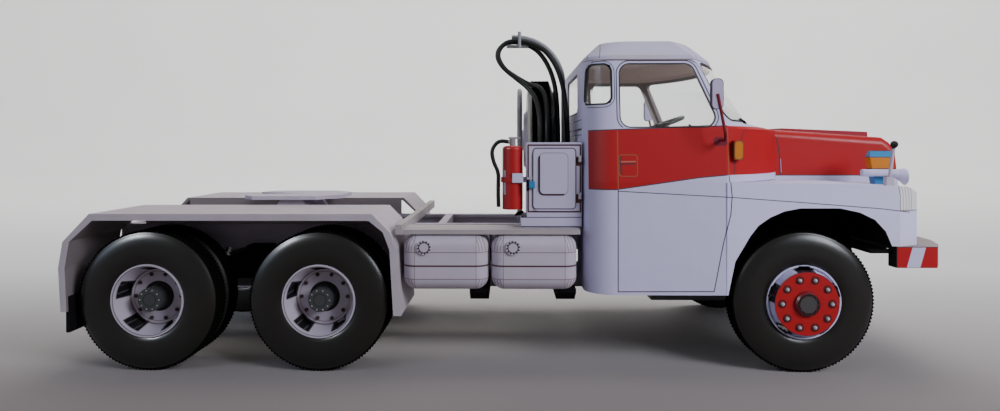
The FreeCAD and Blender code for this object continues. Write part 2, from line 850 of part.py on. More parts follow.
def build_cross_members():
    """Beams between the rails, each with a leg down to the backbone where that runs below."""
    tip = "rail_outer - rail_flange"
    places = {
        "front": ahead("member_front"),
        "cab": behind("member_cab"),
        "tank": behind("member_tank"),
        "bogie": f"{middle_line} - bogie_spacing / 2",
        "rear": f"{rear_line} - rear_overhang + member_rear",
    }
    members = []
    bore = rod("member_bore", "x", (tube_rear, "0", "tyre_radius"), "tube_radius",
               f"{ahead('tube_front')} - ({tube_rear})")
    for name, place in places.items():
        low = "rail_top - rail_height"
        beam = box(name + "_beam", (f"{place} - member_thickness / 2", f"-({tip})", low),
                   (f"{place} + member_thickness / 2", tip, "rail_top"))
        if name == "rear":
            members.append(beam)
            continue
        leg = box(name + "_leg", (f"{place} - member_thickness / 2", "-tube_radius", "tyre_radius"),
                  (f"{place} + member_thickness / 2", "tube_radius", low))
        members.append(cut(name + "_member", fuse(name + "_raw", beam, leg), bore))
    keep(compound("frame_cross_members", *members), "frame_cross_members")


def build_springs():
    """A leaf spring pack each side, from the middle half axle over the bogie centre to the rear one."""
    centre = f"{middle_line} - bogie_spacing / 2"
    reach = "bogie_spacing / 2 + spring_eye"
    seat = "tyre_radius + axle_tube_radius"
    top = "rail_top - rail_height"
    spring = padded("spring_right", "XZ_Plane", "spring_offset", "spring_width", [
        (f"{centre} - ({reach})", seat), (f"{centre} + {reach}", seat),
        (f"{centre} + {reach}", f"{seat} + spring_tip"),
        (f"{centre} + spring_clamp / 2", top), (f"{centre} - spring_clamp / 2", top),
        (f"{centre} - ({reach})", f"{seat} + spring_tip"),
    ])
    hanger = box("spring_hanger", (f"{centre} - spring_clamp / 2", "-(spring_offset + spring_width)", top),
                 (f"{centre} + spring_clamp / 2", "-rail_outer", f"{top} + spring_tip"))
    keep(both_sides("rear_springs", fuse("spring_side", spring, hanger)), "rear_springs")


# Tanks

tank_starts = ("tank_front", "tank_front + tank_length + tank_gap")


def tank(name, start, height):
    """A tank with soft edges all round and a filler cap on its upper outer edge."""
    body = padded(name + "_shell", "XZ_Plane", "tank_inner", "tank_outer - tank_inner", [
        (behind(f"{start} + tank_length"), "tank_bottom"), (behind(start), "tank_bottom"),
        (behind(start), f"tank_bottom + {height}"),
        (behind(f"{start} + tank_length"), f"tank_bottom + {height}"),
    ])
    round_edges(body, "tank_round", lambda middle, run: True)
    cap = rod(name + "_cap", "y", (behind(f"{start} + tank_length - tank_cap_place"),
              "-(tank_outer + tank_cap_stand)", f"tank_bottom + {height} - tank_cap_drop"),
              "tank_cap_radius", "tank_cap_stand + tank_round")
    return fuse(name, body, cap)


def build_tanks():
    """Two tanks a side; the left ones are lower, as the photograph shows nothing there above the rails."""
    pairs = {}
    for side, height in (("right", "tank_height"), ("left", "tank_left_height")):
        pairs[side] = compound(f"tanks_{side}_pair", *[tank(f"tank_{side}_{number}", start, height)
                                                       for number, start in enumerate(tank_starts)])
    keep(pairs["right"], "tanks_right")
    keep(mirrored("tanks_left_mirrored", pairs["left"]), "tanks_left")


shelf_rear = "tank_front + 2 * tank_length + tank_gap"


def build_tank_rails():
    """A flat shelf on the right pair of tanks, and the beam across behind them."""
    top = "tank_bottom + tank_height"
    shelf = box("tank_shelf_right", (behind(shelf_rear), "-tank_shelf_outer", top),
                (behind("tank_front - tank_shelf_end"), "-tank_shelf_inner", f"{top} + tank_shelf"))
    beam = box("tank_beam", (behind(f"{shelf_rear} + beam_width"), "-beam_outer", "rail_top"),
               (behind(shelf_rear), "beam_outer", "rail_top + beam_height"))
    keep(fuse("tank_rails", shelf, beam), "tank_rails")


def build_tank_brackets():
    """Arms from the rails under the tanks."""
    arms = []
    for name, start in (("front", "tank_front"), ("rear", "tank_front + tank_length + tank_gap")):
        arm = padded(f"bracket_{name}", "YZ_Plane", behind(f"{start} + bracket_width"), "bracket_width", [
            ("-rail_outer", "bracket_bottom"), ("-rail_outer", "rail_top - rail_web"),
            ("-tank_inner", "rail_top - rail_web"), ("-tank_inner", "tank_bottom"),
            ("-(tank_outer - tank_round)", "tank_bottom"),
            ("-(tank_outer - tank_round)", "tank_bottom - bracket_plate"),
            ("-(tank_inner + bracket_haunch)", "bracket_bottom"),
        ])
        arms += [arm, mirrored(f"bracket_{name}_left", arm)]
    keep(compound("tank_brackets", *arms), "tank_brackets")


# Rear mudguards

def guard_outline(inset, low):
    """The mudguard's line over both rear wheels, shifted inwards by inset, its feet at the given lowering."""
    shift = f"{inset}"
    slope = f"{inset} * guard_slope_share"
    rear_foot = behind(f"wheelbase + bogie_spacing + rear_overhang - guard_rear_foot - {shift}")
    rear_knee = behind(f"wheelbase + bogie_spacing + rear_overhang - {shift}")
    rear_hip = behind(f"wheelbase + bogie_spacing + rear_overhang - guard_rear_lean - {shift}")
    rear_top = behind(f"wheelbase + bogie_spacing + rear_overhang - guard_rear_slope - {slope}")
    front_top = behind(f"guard_front + guard_front_slope + guard_front_lean + {slope}")
    front_hip = behind(f"guard_front + guard_front_hip_set + {shift}")
    front_knee = behind(f"guard_front + guard_front_lean + {shift}")
    front_foot = behind(f"guard_front + {shift}")
    return [
        (rear_foot, f"guard_rear_bottom - {low}"),
        (rear_knee, "guard_rear_knee"), (rear_hip, "guard_rear_hip"),
        (rear_top, f"guard_top - {inset}"), (front_top, f"guard_top - {inset}"),
        (front_hip, "guard_front_hip"),
        (front_knee, "guard_front_knee"), (front_foot, f"guard_front_bottom - {low}"),
    ]


def mudguard(name):
    """A bent sheet over both wheels with a turned-down outer lip and an inner web that stands on the rail."""
    width = "guard_outer - guard_inner"
    body = padded(name, "XZ_Plane", "guard_inner", width, guard_outline("0", "0"))
    for step, (inset, reach) in enumerate((("guard_lip", width), ("card", f"{width} - card"))):
        hollow = new_sketch(body, f"{name}_hollow_{step}", "XZ_Plane", "guard_inner - overrun")
        draw_outline(hollow, guard_outline(inset, "overrun"))
        pocket = add_pocket(body, hollow, f"overrun + {reach}")
        pocket.Reversed = True
    web = new_sketch(body, name + "_web", "XZ_Plane", "guard_inner")
    draw_outline(web, [
        (behind("wheelbase + bogie_spacing + rear_overhang - guard_rear_slope - card"), "rail_top"),
        (behind("guard_front + guard_front_slope + guard_front_lean + card"), "rail_top"),
        (behind("guard_front + guard_front_slope + guard_front_lean + card"), "guard_top - card / 2"),
        (behind("wheelbase + bogie_spacing + rear_overhang - guard_rear_slope - card"),
         "guard_top - card / 2"),
    ])
    add_pad(body, web, "card")
    notch = new_sketch(body, name + "_notch", "XZ_Plane", "guard_inner - overrun")
    draw_outline(notch, [
        (behind("wheelbase + bogie_spacing + rear_overhang + overrun"), "0"),
        (behind("guard_front - overrun"), "0"), (behind("guard_front - overrun"), "rail_top"),
        (behind("wheelbase + bogie_spacing + rear_overhang + overrun"), "rail_top"),
    ])
    pocket = add_pocket(body, notch, "overrun + rail_outer + guard_clearance - guard_inner")
    pocket.Reversed = True
    return body


def build_mudguards():
    right = mudguard("mudguard_right")
    keep(right, "rear_mudguard_right")
    keep(mirrored("mudguard_left", right), "rear_mudguard_left")
    face = "wheelbase + bogie_spacing + rear_overhang - guard_rear_foot - card"
    flap = box("flap_right", (behind(face), "-flap_outer", "flap_bottom"),
               (behind(f"{face} - card"), "-flap_inner", "flap_top"))
    keep(both_sides("mud_flaps", flap), "mud_flaps")


# Fifth wheel

def build_fifth_wheel():
    """Base plate on the rails, two pedestals, and the top plate with its throat."""
    half = "guard_inner - guard_clearance"
    base = box("turntable_base",
               (behind("plate_centre + pedestal_length / 2 + card"), f"-({half})", "rail_top"),
               (behind("plate_centre - pedestal_length / 2 - card"), half, "rail_top + card"))
    under = "plate_top - plate_thickness"
    pedestal = padded("pedestal_right", "XZ_Plane", "pedestal_offset", "pedestal_width", [
        (behind("plate_centre + pedestal_length / 2"), "rail_top"),
        (behind("plate_centre - pedestal_length / 2"), "rail_top"),
        (behind("plate_centre - pedestal_top_length / 2"), under),
        (behind("plate_centre + pedestal_top_length / 2"), under),
    ])
    spindle = rod("turntable_spindle", "y", (behind("plate_centre"), "-(pedestal_offset + pedestal_width)",
                  "(rail_top + card + plate_top - plate_thickness) / 2"), "spindle_radius",
                  "2 * (pedestal_offset + pedestal_width)")
    left = mirrored("pedestal_left", pedestal)
    keep(fuse("fifth_wheel_base", base, pedestal, left, spindle), "fifth_wheel_base")
    front, rear = behind("plate_centre - plate_length / 2"), behind("plate_centre + plate_length / 2")
    plate = padded("fifth_plate", "XY_Plane", under, "plate_thickness", [
        (front, "-plate_width / 2 + plate_front_round"),
        (front, "plate_width / 2 - plate_front_round"),
        (f"{front} - plate_front_round", "plate_width / 2"),
        (f"{rear} + plate_rear_round", "plate_width / 2"),
        (rear, "plate_width / 2 - plate_rear_round"),
        (rear, "throat_mouth / 2"),
        (behind("plate_centre + throat_depth"), "throat_width / 2"),
        (behind("plate_centre"), "throat_width / 2"),
        (behind("plate_centre"), "-throat_width / 2"),
        (behind("plate_centre + throat_depth"), "-throat_width / 2"),
        (rear, "-throat_mouth / 2"),
        (rear, "-plate_width / 2 + plate_rear_round"),
        (f"{rear} + plate_rear_round", "-plate_width / 2"),
        (f"{front} - plate_front_round", "-plate_width / 2"),
    ])
    hole = new_sketch(plate, "king_pin_hole", "XY_Plane", "plate_top + overrun")
    draw_circle(hole, behind("plate_centre"), "0", "pin_hole_radius")
    add_pocket(plate, hole, "plate_thickness + 2 * overrun")
    keep(plate, "fifth_wheel_plate")


# Tool box and fire extinguisher

def build_toolbox():
    """A closed box on a plinth, its door a raised panel with round corners."""
    shelf_top = "tank_bottom + tank_height + tank_shelf"
    body = padded("toolbox_shell", "XZ_Plane", "box_inner", "box_outer - box_inner", [
        (behind("box_rear"), "box_bottom"), (behind("box_front"), "box_bottom"),
        (behind("box_front"), "box_top"), (behind("box_rear"), "box_top"),
    ])
    door = new_sketch(body, "toolbox_door", "XZ_Plane", "box_outer")
    draw_round_box(door, behind("box_rear - box_door_margin"), behind("box_front + box_door_margin"),
                   "box_bottom + box_door_margin", "box_top - box_door_margin", "box_door_round")
    add_pad(body, door, "box_door_stand")
    panel = new_sketch(body, "toolbox_panel", "XZ_Plane", "box_outer + box_door_stand")
    draw_round_box(panel, behind("box_rear - box_panel_rear"), behind("box_front + box_panel_front"),
                   "box_bottom + box_panel_low", "box_top - box_panel_high", "box_door_round")
    add_pad(body, panel, "box_panel_stand")
    plinth = box("toolbox_plinth", (behind("plinth_rear"), "-box_outer", shelf_top),
                 (behind("box_front"), "-box_inner", "box_bottom"))
    ring, tab, bore = bottle_band()
    band = cut("band", fuse("band_raw", ring, tab), bore)
    keep(fuse("toolbox_whole", body, plinth, band), "toolbox")


def bottle_band():
    """The band round the fire extinguisher, with its tab on the box's side."""
    centre = (behind("bottle_centre"), "-bottle_offset")
    ring = rod("band_ring", "z", (*centre, "band_bottom"), "bottle_radius + band_wall", "band_height")
    tab = box("band_tab", (behind("bottle_centre"), "-bottle_offset - band_tab_half", "band_bottom"),
              (behind("box_rear"), "-bottle_offset + band_tab_half", "band_bottom + band_height"))
    bore = rod("band_bore", "z", (*centre, "band_bottom - overrun"), "bottle_radius",
               "band_height + 2 * overrun")
    return ring, tab, bore


def build_extinguisher():
    """Bottle with a rounded shoulder, and its valve with lever and hose."""
    bottle = doc.addObject("PartDesign::Body", "bottle")
    sketch = new_sketch(bottle, "bottle_outline", "XY_Plane", "bottle_bottom")
    draw_circle(sketch, behind("bottle_centre"), "-bottle_offset", "bottle_radius")
    add_pad(bottle, sketch, "bottle_height")
    round_edges(bottle, "bottle_shoulder_round", lambda middle, run: middle.z > num("bottle_bottom"))
    keep(bottle, "extinguisher")
    top = "bottle_bottom + bottle_height"
    centre = (behind("bottle_centre"), "-bottle_offset")
    stem = rod("valve_stem", "z", (*centre, top), "valve_radius", "valve_height")
    lever = box("valve_lever",
                (behind("bottle_centre + lever_length / 3"), "-bottle_offset - valve_radius / 2",
                f"{top} + valve_height"), (behind("bottle_centre - 2 * lever_length / 3"),
                "-bottle_offset + valve_radius / 2", f"{top} + valve_height + lever_thickness"))
    hose = extinguisher_hose(top)
    keep(fuse("valve", stem, lever, hose), "extinguisher_valve")


def tube_along(points, radius):
    """A round tube through points, its corners rounded as far as the runs allow."""
    edges = []
    last = points[0]
    for index in range(1, len(points) - 1):
        corner = points[index]
        before, after = points[index - 1] - corner, points[index + 1] - corner
        shorter = min(before.Length, after.Length)
        reach = shorter * arc_share
        one, two = corner + before.normalize() * reach, corner + after.normalize() * reach
        half_turn = (math.pi - before.getAngle(after)) / 2
        bend = reach / math.tan(half_turn)
        centre = corner + (before + after).normalize() * math.hypot(reach, bend)
        through = centre + (corner - centre).normalize() * bend
        edges.append(Part.LineSegment(last, one).toShape())
        edges.append(Part.Arc(one, through, two).toShape())
        print(f"  turn {math.degrees(2 * half_turn):5.1f} degrees, radius {bend:6.2f}, run {shorter:6.2f}")
        last = two
    edges.append(Part.LineSegment(last, points[-1]).toShape())
    path = Part.Wire(edges)
    start = points[1] - points[0]
    ring = Part.Wire([Part.Circle(points[0], start, radius).toShape()])
    tube = path.makePipeShell([ring], True, False)
    print(f"  length {path.Length:.2f}, volume {tube.Volume:.3f}, section times length "
          f"{math.pi * radius ** 2 * path.Length:.3f}")
    return tube


arc_share = 0.45


def extinguisher_hose(top):
    """Short hose from the valve down beside the bottle."""
    x, y, z = num(behind("bottle_centre")), -num("bottle_offset"), num(f"{top} + valve_height / 2")
    reach, bulge, radius = num("bottle_hose_reach"), num("bottle_hose_bulge"), num("bottle_hose_radius")
    low, knee = num("bottle_bottom") + radius, z - num("bottle_hose_drop")
    points = [
        Vector(x, y, z),
        Vector(x - reach, y, z + radius),
        Vector(x - bulge, y, z - num("bottle_hose_turn")),
        Vector(x - bulge + radius, y, z - num("bottle_hose_return")),
        Vector(x - reach, y, knee),
        Vector(x - reach - radius / 4, y, (knee + low) / 2),
        Vector(x - reach, y, low),
    ]
    return shaped("bottle_hose", tube_along(points, radius))


# Spare wheel

def build_spare():
    """The spare stands across the model on a cradle, its disc bulging backwards, between two wire loops."""
    tyre_body = tyre("spare_tyre_form")
    rim_body = revolved("spare_rim_form", [
        ("rim_inset - spare_disc_stand - spare_hub_stand", "0"),
        ("rim_inset - spare_disc_stand - spare_hub_stand", "front_hub_radius - rim_lip"),
        ("rim_inset - spare_disc_stand", "front_hub_radius"),
        ("rim_inset - spare_disc_stand", "front_disc_radius"),
        ("rim_inset", "tyre_bore"),
        ("tyre_width - rim_inset", "tyre_bore"),
        ("tyre_width - rim_inset", "tyre_bore - rim_wall"),
        ("rim_inset + rim_wall", "tyre_bore - rim_wall"),
        ("rim_inset - spare_disc_stand + rim_wall", "front_disc_radius - rim_wall"),
        ("rim_inset - spare_disc_stand + rim_wall", "0"),
    ])
    for piece, name in ((tyre_body, "spare_tyre"), (rim_body, "spare_rim")):
        piece.Placement.Rotation = FreeCAD.Rotation(Vector(0, 0, 1), -90)
        place_at(piece, behind("spare_centre + tyre_width / 2"), "0", "spare_height")
        keep(piece, name)
    cradle = box("spare_cradle", (behind("spare_centre + tyre_width / 2"), "-cradle_half_width", "rail_top"),
                 (behind("spare_centre - tyre_width / 2"), "cradle_half_width",
                  "spare_height - tyre_radius - cradle_gap"))
    posts = [cradle]
    for name, place in (("rear", "carrier_rear"), ("front", "carrier_front")):
        half = "carrier_half_width + 2 * carrier_wire"
        foot = box(f"carrier_foot_{name}", (behind(f"{place} + carrier_wire"), f"-({half})", "rail_top"),
                   (behind(f"{place} - carrier_wire"), half, "rail_top + cradle_thickness"))
        posts += [foot, shaped(f"carrier_loop_{name}", carrier_loop(place))]
    bridge = box("carrier_bridge", (behind("carrier_rear + carrier_wire"), "-cradle_thickness", "rail_top"),
                 (behind("carrier_front - carrier_wire"), "cradle_thickness", "rail_top + cradle_thickness"))
    keep(fuse("spare_carrier_whole", *posts, bridge), "spare_carrier")


def carrier_loop(place):
    """A wire hoop that stands on its foot and closes over the hub's height."""
    x = num(behind(place))
    half, low, high = num("carrier_half_width"), num("rail_top"), num("carrier_top")
    points = [Vector(x, -half, low), Vector(x, -half, high), Vector(x, half, high), Vector(x, half, low)]
    return tube_along(points, num("carrier_wire"))


# Hose post behind the cab

def build_hose_post():
    """A bent bar that leans back over the spare wheel, with a clamp round the two hoses below its tip."""
    x, y, radius = num(behind("post_place")), -num("post_offset"), num("post_radius")
    low, top, bend = num("rail_top"), num("post_top"), num("post_bend_radius")
    slant = bend * math.sqrt(0.5)
    knee, crest = Vector(x, y, top - bend), Vector(x - bend, y, top)
    path = Part.Wire([
        Part.LineSegment(Vector(x, y, low), knee).toShape(),
        Part.Arc(knee, Vector(x - bend + slant, y, top - bend + slant), crest).toShape(),
        Part.LineSegment(crest, Vector(num(behind("post_tip")), y, top)).toShape(),
    ])
    ring = Part.Wire([Part.Circle(Vector(x, y, low), Vector(0, 0, 1), radius).toShape()])
    post = shaped("post_tube", path.makePipeShell([ring], True, False))
    foot = box("post_foot_plate", (behind("post_place + post_foot_half"), "-rail_outer", "rail_top"),
               (behind("post_place - post_foot_half"), "-(carrier_half_width + 3 * carrier_wire)",
                "rail_top + card"))
    across, height = behind("clamp_place"), "post_top - clamp_drop"
    pin = rod("clamp_pin", "z", (across, "-clamp_pin_offset", f"{height} - clamp_radius"), "clamp_radius",
              "clamp_drop + clamp_rise")
    upper = rod("clamp_upper", "y", (across, "-clamp_pin_offset", "post_top"), "clamp_bar_radius",
                "clamp_pin_offset - post_offset")
    lower = rod("clamp_lower", "y", (across, "-clamp_pin_offset", height), "clamp_bar_radius",
                "clamp_pin_offset - post_offset")
    bar = rod("clamp_bar", "x", (behind("clamp_bar_rear"), "-post_offset", height), "clamp_radius",
              "clamp_bar_rear - clamp_bar_front")
    keep(fuse("post_whole", post, foot, pin, upper, lower, bar), "hose_post")


# Cab: rounded plan sections lofted between heights; the wall lies between the outer and the inner form

def plan_section(height, half, nose_side, nose, grow, inset="0"):
    """Plan outline at a height: flat back, round rear corners, straight sides, one arc across the front."""
    z = num(height)
    side = num(f"{half} - ({inset})") + grow
    rear = num(behind(f"cab_rear - ({inset})")) - grow
    corner = num("cab_corner") + grow
    side_x = num(behind(f"({nose_side}) + ({inset})"))
    nose_x = num(ahead(f"({nose}) - ({inset})"))
    chord, rise = num(f"{half} - ({inset})"), nose_x - side_x
    bend = (chord ** 2 + rise ** 2) / (2 * rise)
    centre = nose_x - bend
    bend += grow
    join = centre + math.sqrt(bend ** 2 - side ** 2)
    slant = corner * math.sqrt(0.5)
    edges = []
    for one, through, two in (
        (Vector(rear, side - corner, z), Vector(rear + corner - slant, side - corner + slant, z),
         Vector(rear + corner, side, z)),
        (Vector(join, side, z), Vector(centre + bend, 0, z), Vector(join, -side, z)),
        (Vector(rear + corner, -side, z), Vector(rear + corner - slant, -side + corner - slant, z),
         Vector(rear, -side + corner, z)),
    ):
        if edges:
            edges.append(Part.LineSegment(last, one).toShape())
        edges.append(Part.Arc(one, through, two).toShape())
        last = two
    edges.append(Part.LineSegment(last, Vector(rear, side - corner, z)).toShape())
    return Part.Wire(edges)


def box_section(height, half, grow):
    """Plan outline of the cab below the waist, with a flat front."""
    z, side = num(height), num(half) + grow
    rear, front = num(behind("cab_rear")) - grow, num(behind("cab_front")) + grow
    corner = num("cab_corner") + grow
    slant = corner * math.sqrt(0.5)
    left = Part.Arc(Vector(rear, side - corner, z), Vector(rear + corner - slant, side - corner + slant, z),
                    Vector(rear + corner, side, z)).toShape()
    right = Part.Arc(Vector(rear + corner, -side, z),
                     Vector(rear + corner - slant, -side + corner - slant, z),
                     Vector(rear, -side + corner, z)).toShape()
    spots = [Vector(rear + corner, side, z), Vector(front, side, z), Vector(front, -side, z),
             Vector(rear + corner, -side, z)]
    lines = [Part.LineSegment(one, two).toShape() for one, two in zip(spots, spots[1:])]
    back = Part.LineSegment(Vector(rear, -side + corner, z), Vector(rear, side - corner, z)).toShape()
    return Part.Wire([left, *lines, right, back])


def cab_solid(grow):
    """The cab's outer form, or with grow below zero the form inside its wall, up to the eaves."""
    low = Part.makeLoft([box_section("cab_bottom", "cab_half_low", grow),
                         box_section("cab_waist", "cab_half_waist", grow)], True, True)
    cowl = Part.makeLoft([plan_section("cab_waist", "cab_half_waist", "cab_front", "cowl_nose", grow),
                          plan_section("cab_belt", "cab_half_belt", "cab_front", "cowl_nose", grow)], True, True)
    shelf = Part.makeLoft([plan_section("cab_belt", "cab_half_belt", "cab_front", "cowl_nose", grow),
                           plan_section("cab_sill", "cab_half_sill", "screen_foot_side", "-screen_foot", grow)],
                          True, True)
    screen = Part.makeLoft([
        plan_section("cab_sill", "cab_half_sill", "screen_foot_side", "-screen_foot", grow),
        plan_section("cab_eave", "cab_half_eave", "screen_head_side", "-screen_head", grow)], True, True)
    return low.fuse([cowl, shelf, screen]).removeSplitter(), (low, cowl, shelf, screen)


roof_shares = ((0.0, 0.0), (0.08, 0.22), (1.0, 1.0))


def roof_solid(grow):
    """A flat-topped cap on the eaves: a low upright band, then facets that lean in to the top."""
    sections = []
    for inset_share, rise_share in roof_shares:
        rise = (num("roof_peak - cab_eave") + grow) * rise_share
        sections.append(plan_section(f"cab_eave + {rise:.6f}", "cab_half_eave", "screen_head_side",
                                     "-screen_head", grow, f"roof_inset * {inset_share}"))
    return Part.makeLoft(sections, True, True)


def prism(points, direction):
    """A solid from an outline of points, pushed along a direction."""
    wire = Part.makePolygon(points + [points[0]])
    return Part.Face(wire).extrude(direction)


def side_prism(points, low, high):
    """Outline in the side view, between two places across the model."""
    flat = [Vector(num(across), num(low), num(up)) for across, up in points]
    return prism(flat, Vector(0, num(high) - num(low), 0))


def rounded(solid, direction, radius):
    """Rounds the edges that run along a direction."""
    edges = [edge for edge in solid.Edges
             if abs((edge.Vertexes[-1].Point - edge.Vertexes[0].Point).normalize().dot(direction)) > edge_align_share]
    return solid.makeFillet(radius, edges)


edge_align_share = 0.999


def door_window():
    outline = [
        (behind("door_window_rear"), "door_window_bottom"), (behind("door_window_foot"), "door_window_bottom"),
        (behind("door_window_head"), "door_window_top"), (behind("door_window_rear"), "door_window_top"),
    ]
    solid = side_prism(outline, "-cab_half_low - overrun", "-cab_half_eave + cab_reach")
    return rounded(solid, Vector(0, 1, 0), num("door_window_round"))


def corner_window():
    outline = [
        (behind("cab_rear + overrun"), "corner_window_bottom"),
        (behind("corner_window_front"), "corner_window_bottom"),
        (behind("corner_window_front"), "corner_window_top"),
        (behind("cab_rear + overrun"), "corner_window_top"),
    ]
    return side_prism(outline, "-cab_half_low - overrun", "-corner_window_inner")


def rear_window():
    half = num("rear_window_half")
    x = num(behind("cab_rear + overrun"))
    low, high = num("rear_window_bottom"), num("rear_window_top")
    points = [Vector(x, -half, low), Vector(x, half, low), Vector(x, half, high), Vector(x, -half, high)]
    solid = prism(points, Vector(num("overrun + cab_corner / 2"), 0, 0))
    return rounded(solid, Vector(1, 0, 0), num("screen_round"))


def screen_window():
    x = num(behind("screen_head_side + overrun / 2"))
    low, high = num("screen_bottom"), num("screen_top")
    half_low, half_top = num("screen_half_low"), num("screen_half_top")
    points = [Vector(x, -half_low, low), Vector(x, half_low, low), Vector(x, half_top, high),
              Vector(x, -half_top, high)]
    solid = prism(points, Vector(num(ahead("cowl_nose + overrun")) - x, 0, 0))
    return rounded(solid, Vector(1, 0, 0), num("screen_round"))


def flipped(shape):
    return shape.mirror(Vector(0, 0, 0), Vector(0, 1, 0))


def build_cab():
    """One shell, cut for its windows and for the frame below, then split into its panels."""
    outer, parts = cab_solid(0)
    inner, inner_parts = cab_solid(-num("cab_wall"))
    shell = outer.cut(inner)
    windows = {"door": door_window(), "corner": corner_window(), "rear": rear_window(),
               "screen": screen_window()}
    left_windows = [flipped(windows["door"]), flipped(windows["corner"])]
    tunnel = Part.makeBox(num("cab_rear + overrun"), 2 * num("tunnel_half"), num("rail_top"),
                          Vector(num(behind("cab_rear + overrun / 2")), -num("tunnel_half"), 0))
    shell = shell.cut([*windows.values(), *left_windows, tunnel])
    top, low, wide = "cab_eave + overrun", "cab_bottom - overrun", "cab_half_low + overrun"
    split = [(behind("cab_front + cab_wall"), low), (behind("cab_front + cab_wall"), "cab_sill"),
             (behind("screen_head_side + pillar_split"), "cab_eave")]
    front_region = side_prism(split + [(behind("screen_head_side + pillar_split"), top),
                              (ahead("cowl_nose + overrun"), top), (ahead("cowl_nose + overrun"), low)],
                              f"-({wide})", wide)
    back_region = side_prism([(behind("cab_rear + overrun"), low), (behind("back_split"), low),
                              (behind("back_split"), top), (behind("cab_rear + overrun"), top)],
                             f"-({wide})", wide)
    side_region = side_prism([(behind("back_split"), low), *split,
                              (behind("screen_head_side + pillar_split"), top), (behind("back_split"), top)],
                             f"-({wide})", "0")
    keep(shaped("cowl_panel", shell.common(front_region)), "cowl")
    keep(shaped("back_panel", shell.common(back_region)), "cab_back")
    right = shaped("side_panel", shell.common(side_region))
    keep(right, "cab_side_right")
    keep(mirrored("side_panel_left", right), "cab_side_left")
    keep(shaped("roof_panel", roof_solid(0).cut(roof_solid(-num("cab_wall")))), "cab_roof")
    build_glass(windows)
    build_cab_inside(inner_parts)
    return parts


def build_glass(windows):
    """Clear film in the middle of the wall, as large as each opening."""
    middle = num("(cab_wall - film) / 2")
    sheet_outer, _ = cab_solid(-middle)
    sheet_inner, _ = cab_solid(-middle - num("film"))
    film = sheet_outer.cut(sheet_inner)
    keep(shaped("screen_film", film.common(windows["screen"])), "windscreen")
    panes = [film.common(windows[name]) for name in ("door", "corner", "rear")]
    panes += [flipped(panes[0]), flipped(panes[1])]
    keep(shaped("pane_films", Part.makeCompound(panes)), "cab_glass")


def build_cab_inside(inner_parts):
    """Floor, dashboard, steering wheel and seats."""
    low_room, cowl_room = inner_parts[0], inner_parts[1]
    wide = num("cab_half_low")
    slab = Part.makeBox(num("cab_rear"), 2 * wide, num("floor_thickness"),
                        Vector(num(behind("cab_rear")), -wide, num("rail_top")))
    keep(shaped("floor_slab", slab.common(low_room)), "cab_floor")
    dash = Part.makeBox(num("dash_rear + overrun"), 2 * wide, num("dash_height"),
                        Vector(num(behind("dash_rear")), -wide, num("cab_belt - dash_drop - dash_height")))
    keep(shaped("dash_slab", dash.common(cowl_room)), "dashboard")
    build_steering_wheel(dash)
    floor_top = "rail_top + floor_thickness"
    base = box("seat_base", (behind("seat_rear"), "-seat_offset - seat_width / 2", floor_top),
               (behind("seat_rear - seat_length"), "-seat_offset + seat_width / 2",
                f"{floor_top} + seat_height"))
    back = box("seat_back",
               (behind("seat_rear"), "-seat_offset - seat_width / 2", f"{floor_top} + seat_height"),
               (behind("seat_rear - seat_back_thickness"), "-seat_offset + seat_width / 2",
                f"{floor_top} + seat_height + seat_back_height"))
    keep(both_sides("cab_seats", fuse("seat_right", base, back)), "cab_seats")


def build_steering_wheel(dash):
    """Rim, two spokes and the column down to the dashboard."""
    lean = FreeCAD.Rotation(Vector(0, 1, 0), -num("steering_lean"))
    centre = Vector(num(behind("steering_place")), num("seat_offset"), num("steering_height"))
    rim = Part.makeTorus(num("steering_wheel_radius"), num("steering_wheel_rim"))
    spoke = Part.makeCylinder(num("steering_wheel_rim"), 2 * num("steering_wheel_radius"),
                              Vector(0, -num("steering_wheel_radius"), 0), Vector(0, 1, 0))
    column = Part.makeCylinder(num("column_radius"), num("column_length"),
                               Vector(0, 0, -num("column_length")),
                               Vector(0, 0, 1))
    wheel = rim.fuse([spoke, column])
    wheel.Placement = FreeCAD.Placement(centre, lean)
    keep(shaped("steering_wheel_form", wheel.cut(dash)), "steering_wheel")


# Bonnet, grille, wings and bumper

def bonnet_outline(inset):
    """Side view of the bonnet with its rounded-off nose, drawn in by the wall."""
    return [
        (behind("cab_front"), f"cab_waist - bonnet_tuck - bonnet_open * ({inset})"),
        (ahead(f"bonnet_nose - ({inset})"), f"cab_waist - bonnet_tuck - bonnet_open * ({inset})"),
        (ahead(f"bonnet_nose_mid - ({inset})"), f"bonnet_nose_mid_top - bonnet_slope_share * ({inset})"),
        (ahead(f"bonnet_nose_high - bonnet_slope_share * ({inset})"),
         f"bonnet_nose_high_top - bonnet_slope_share * ({inset})"),
        (ahead(f"bonnet_front - bonnet_slope_share * ({inset})"), f"bonnet_front_top - ({inset})"),
        (behind("cab_front"), f"bonnet_rear_top + bonnet_back_rise - ({inset})"),
    ]


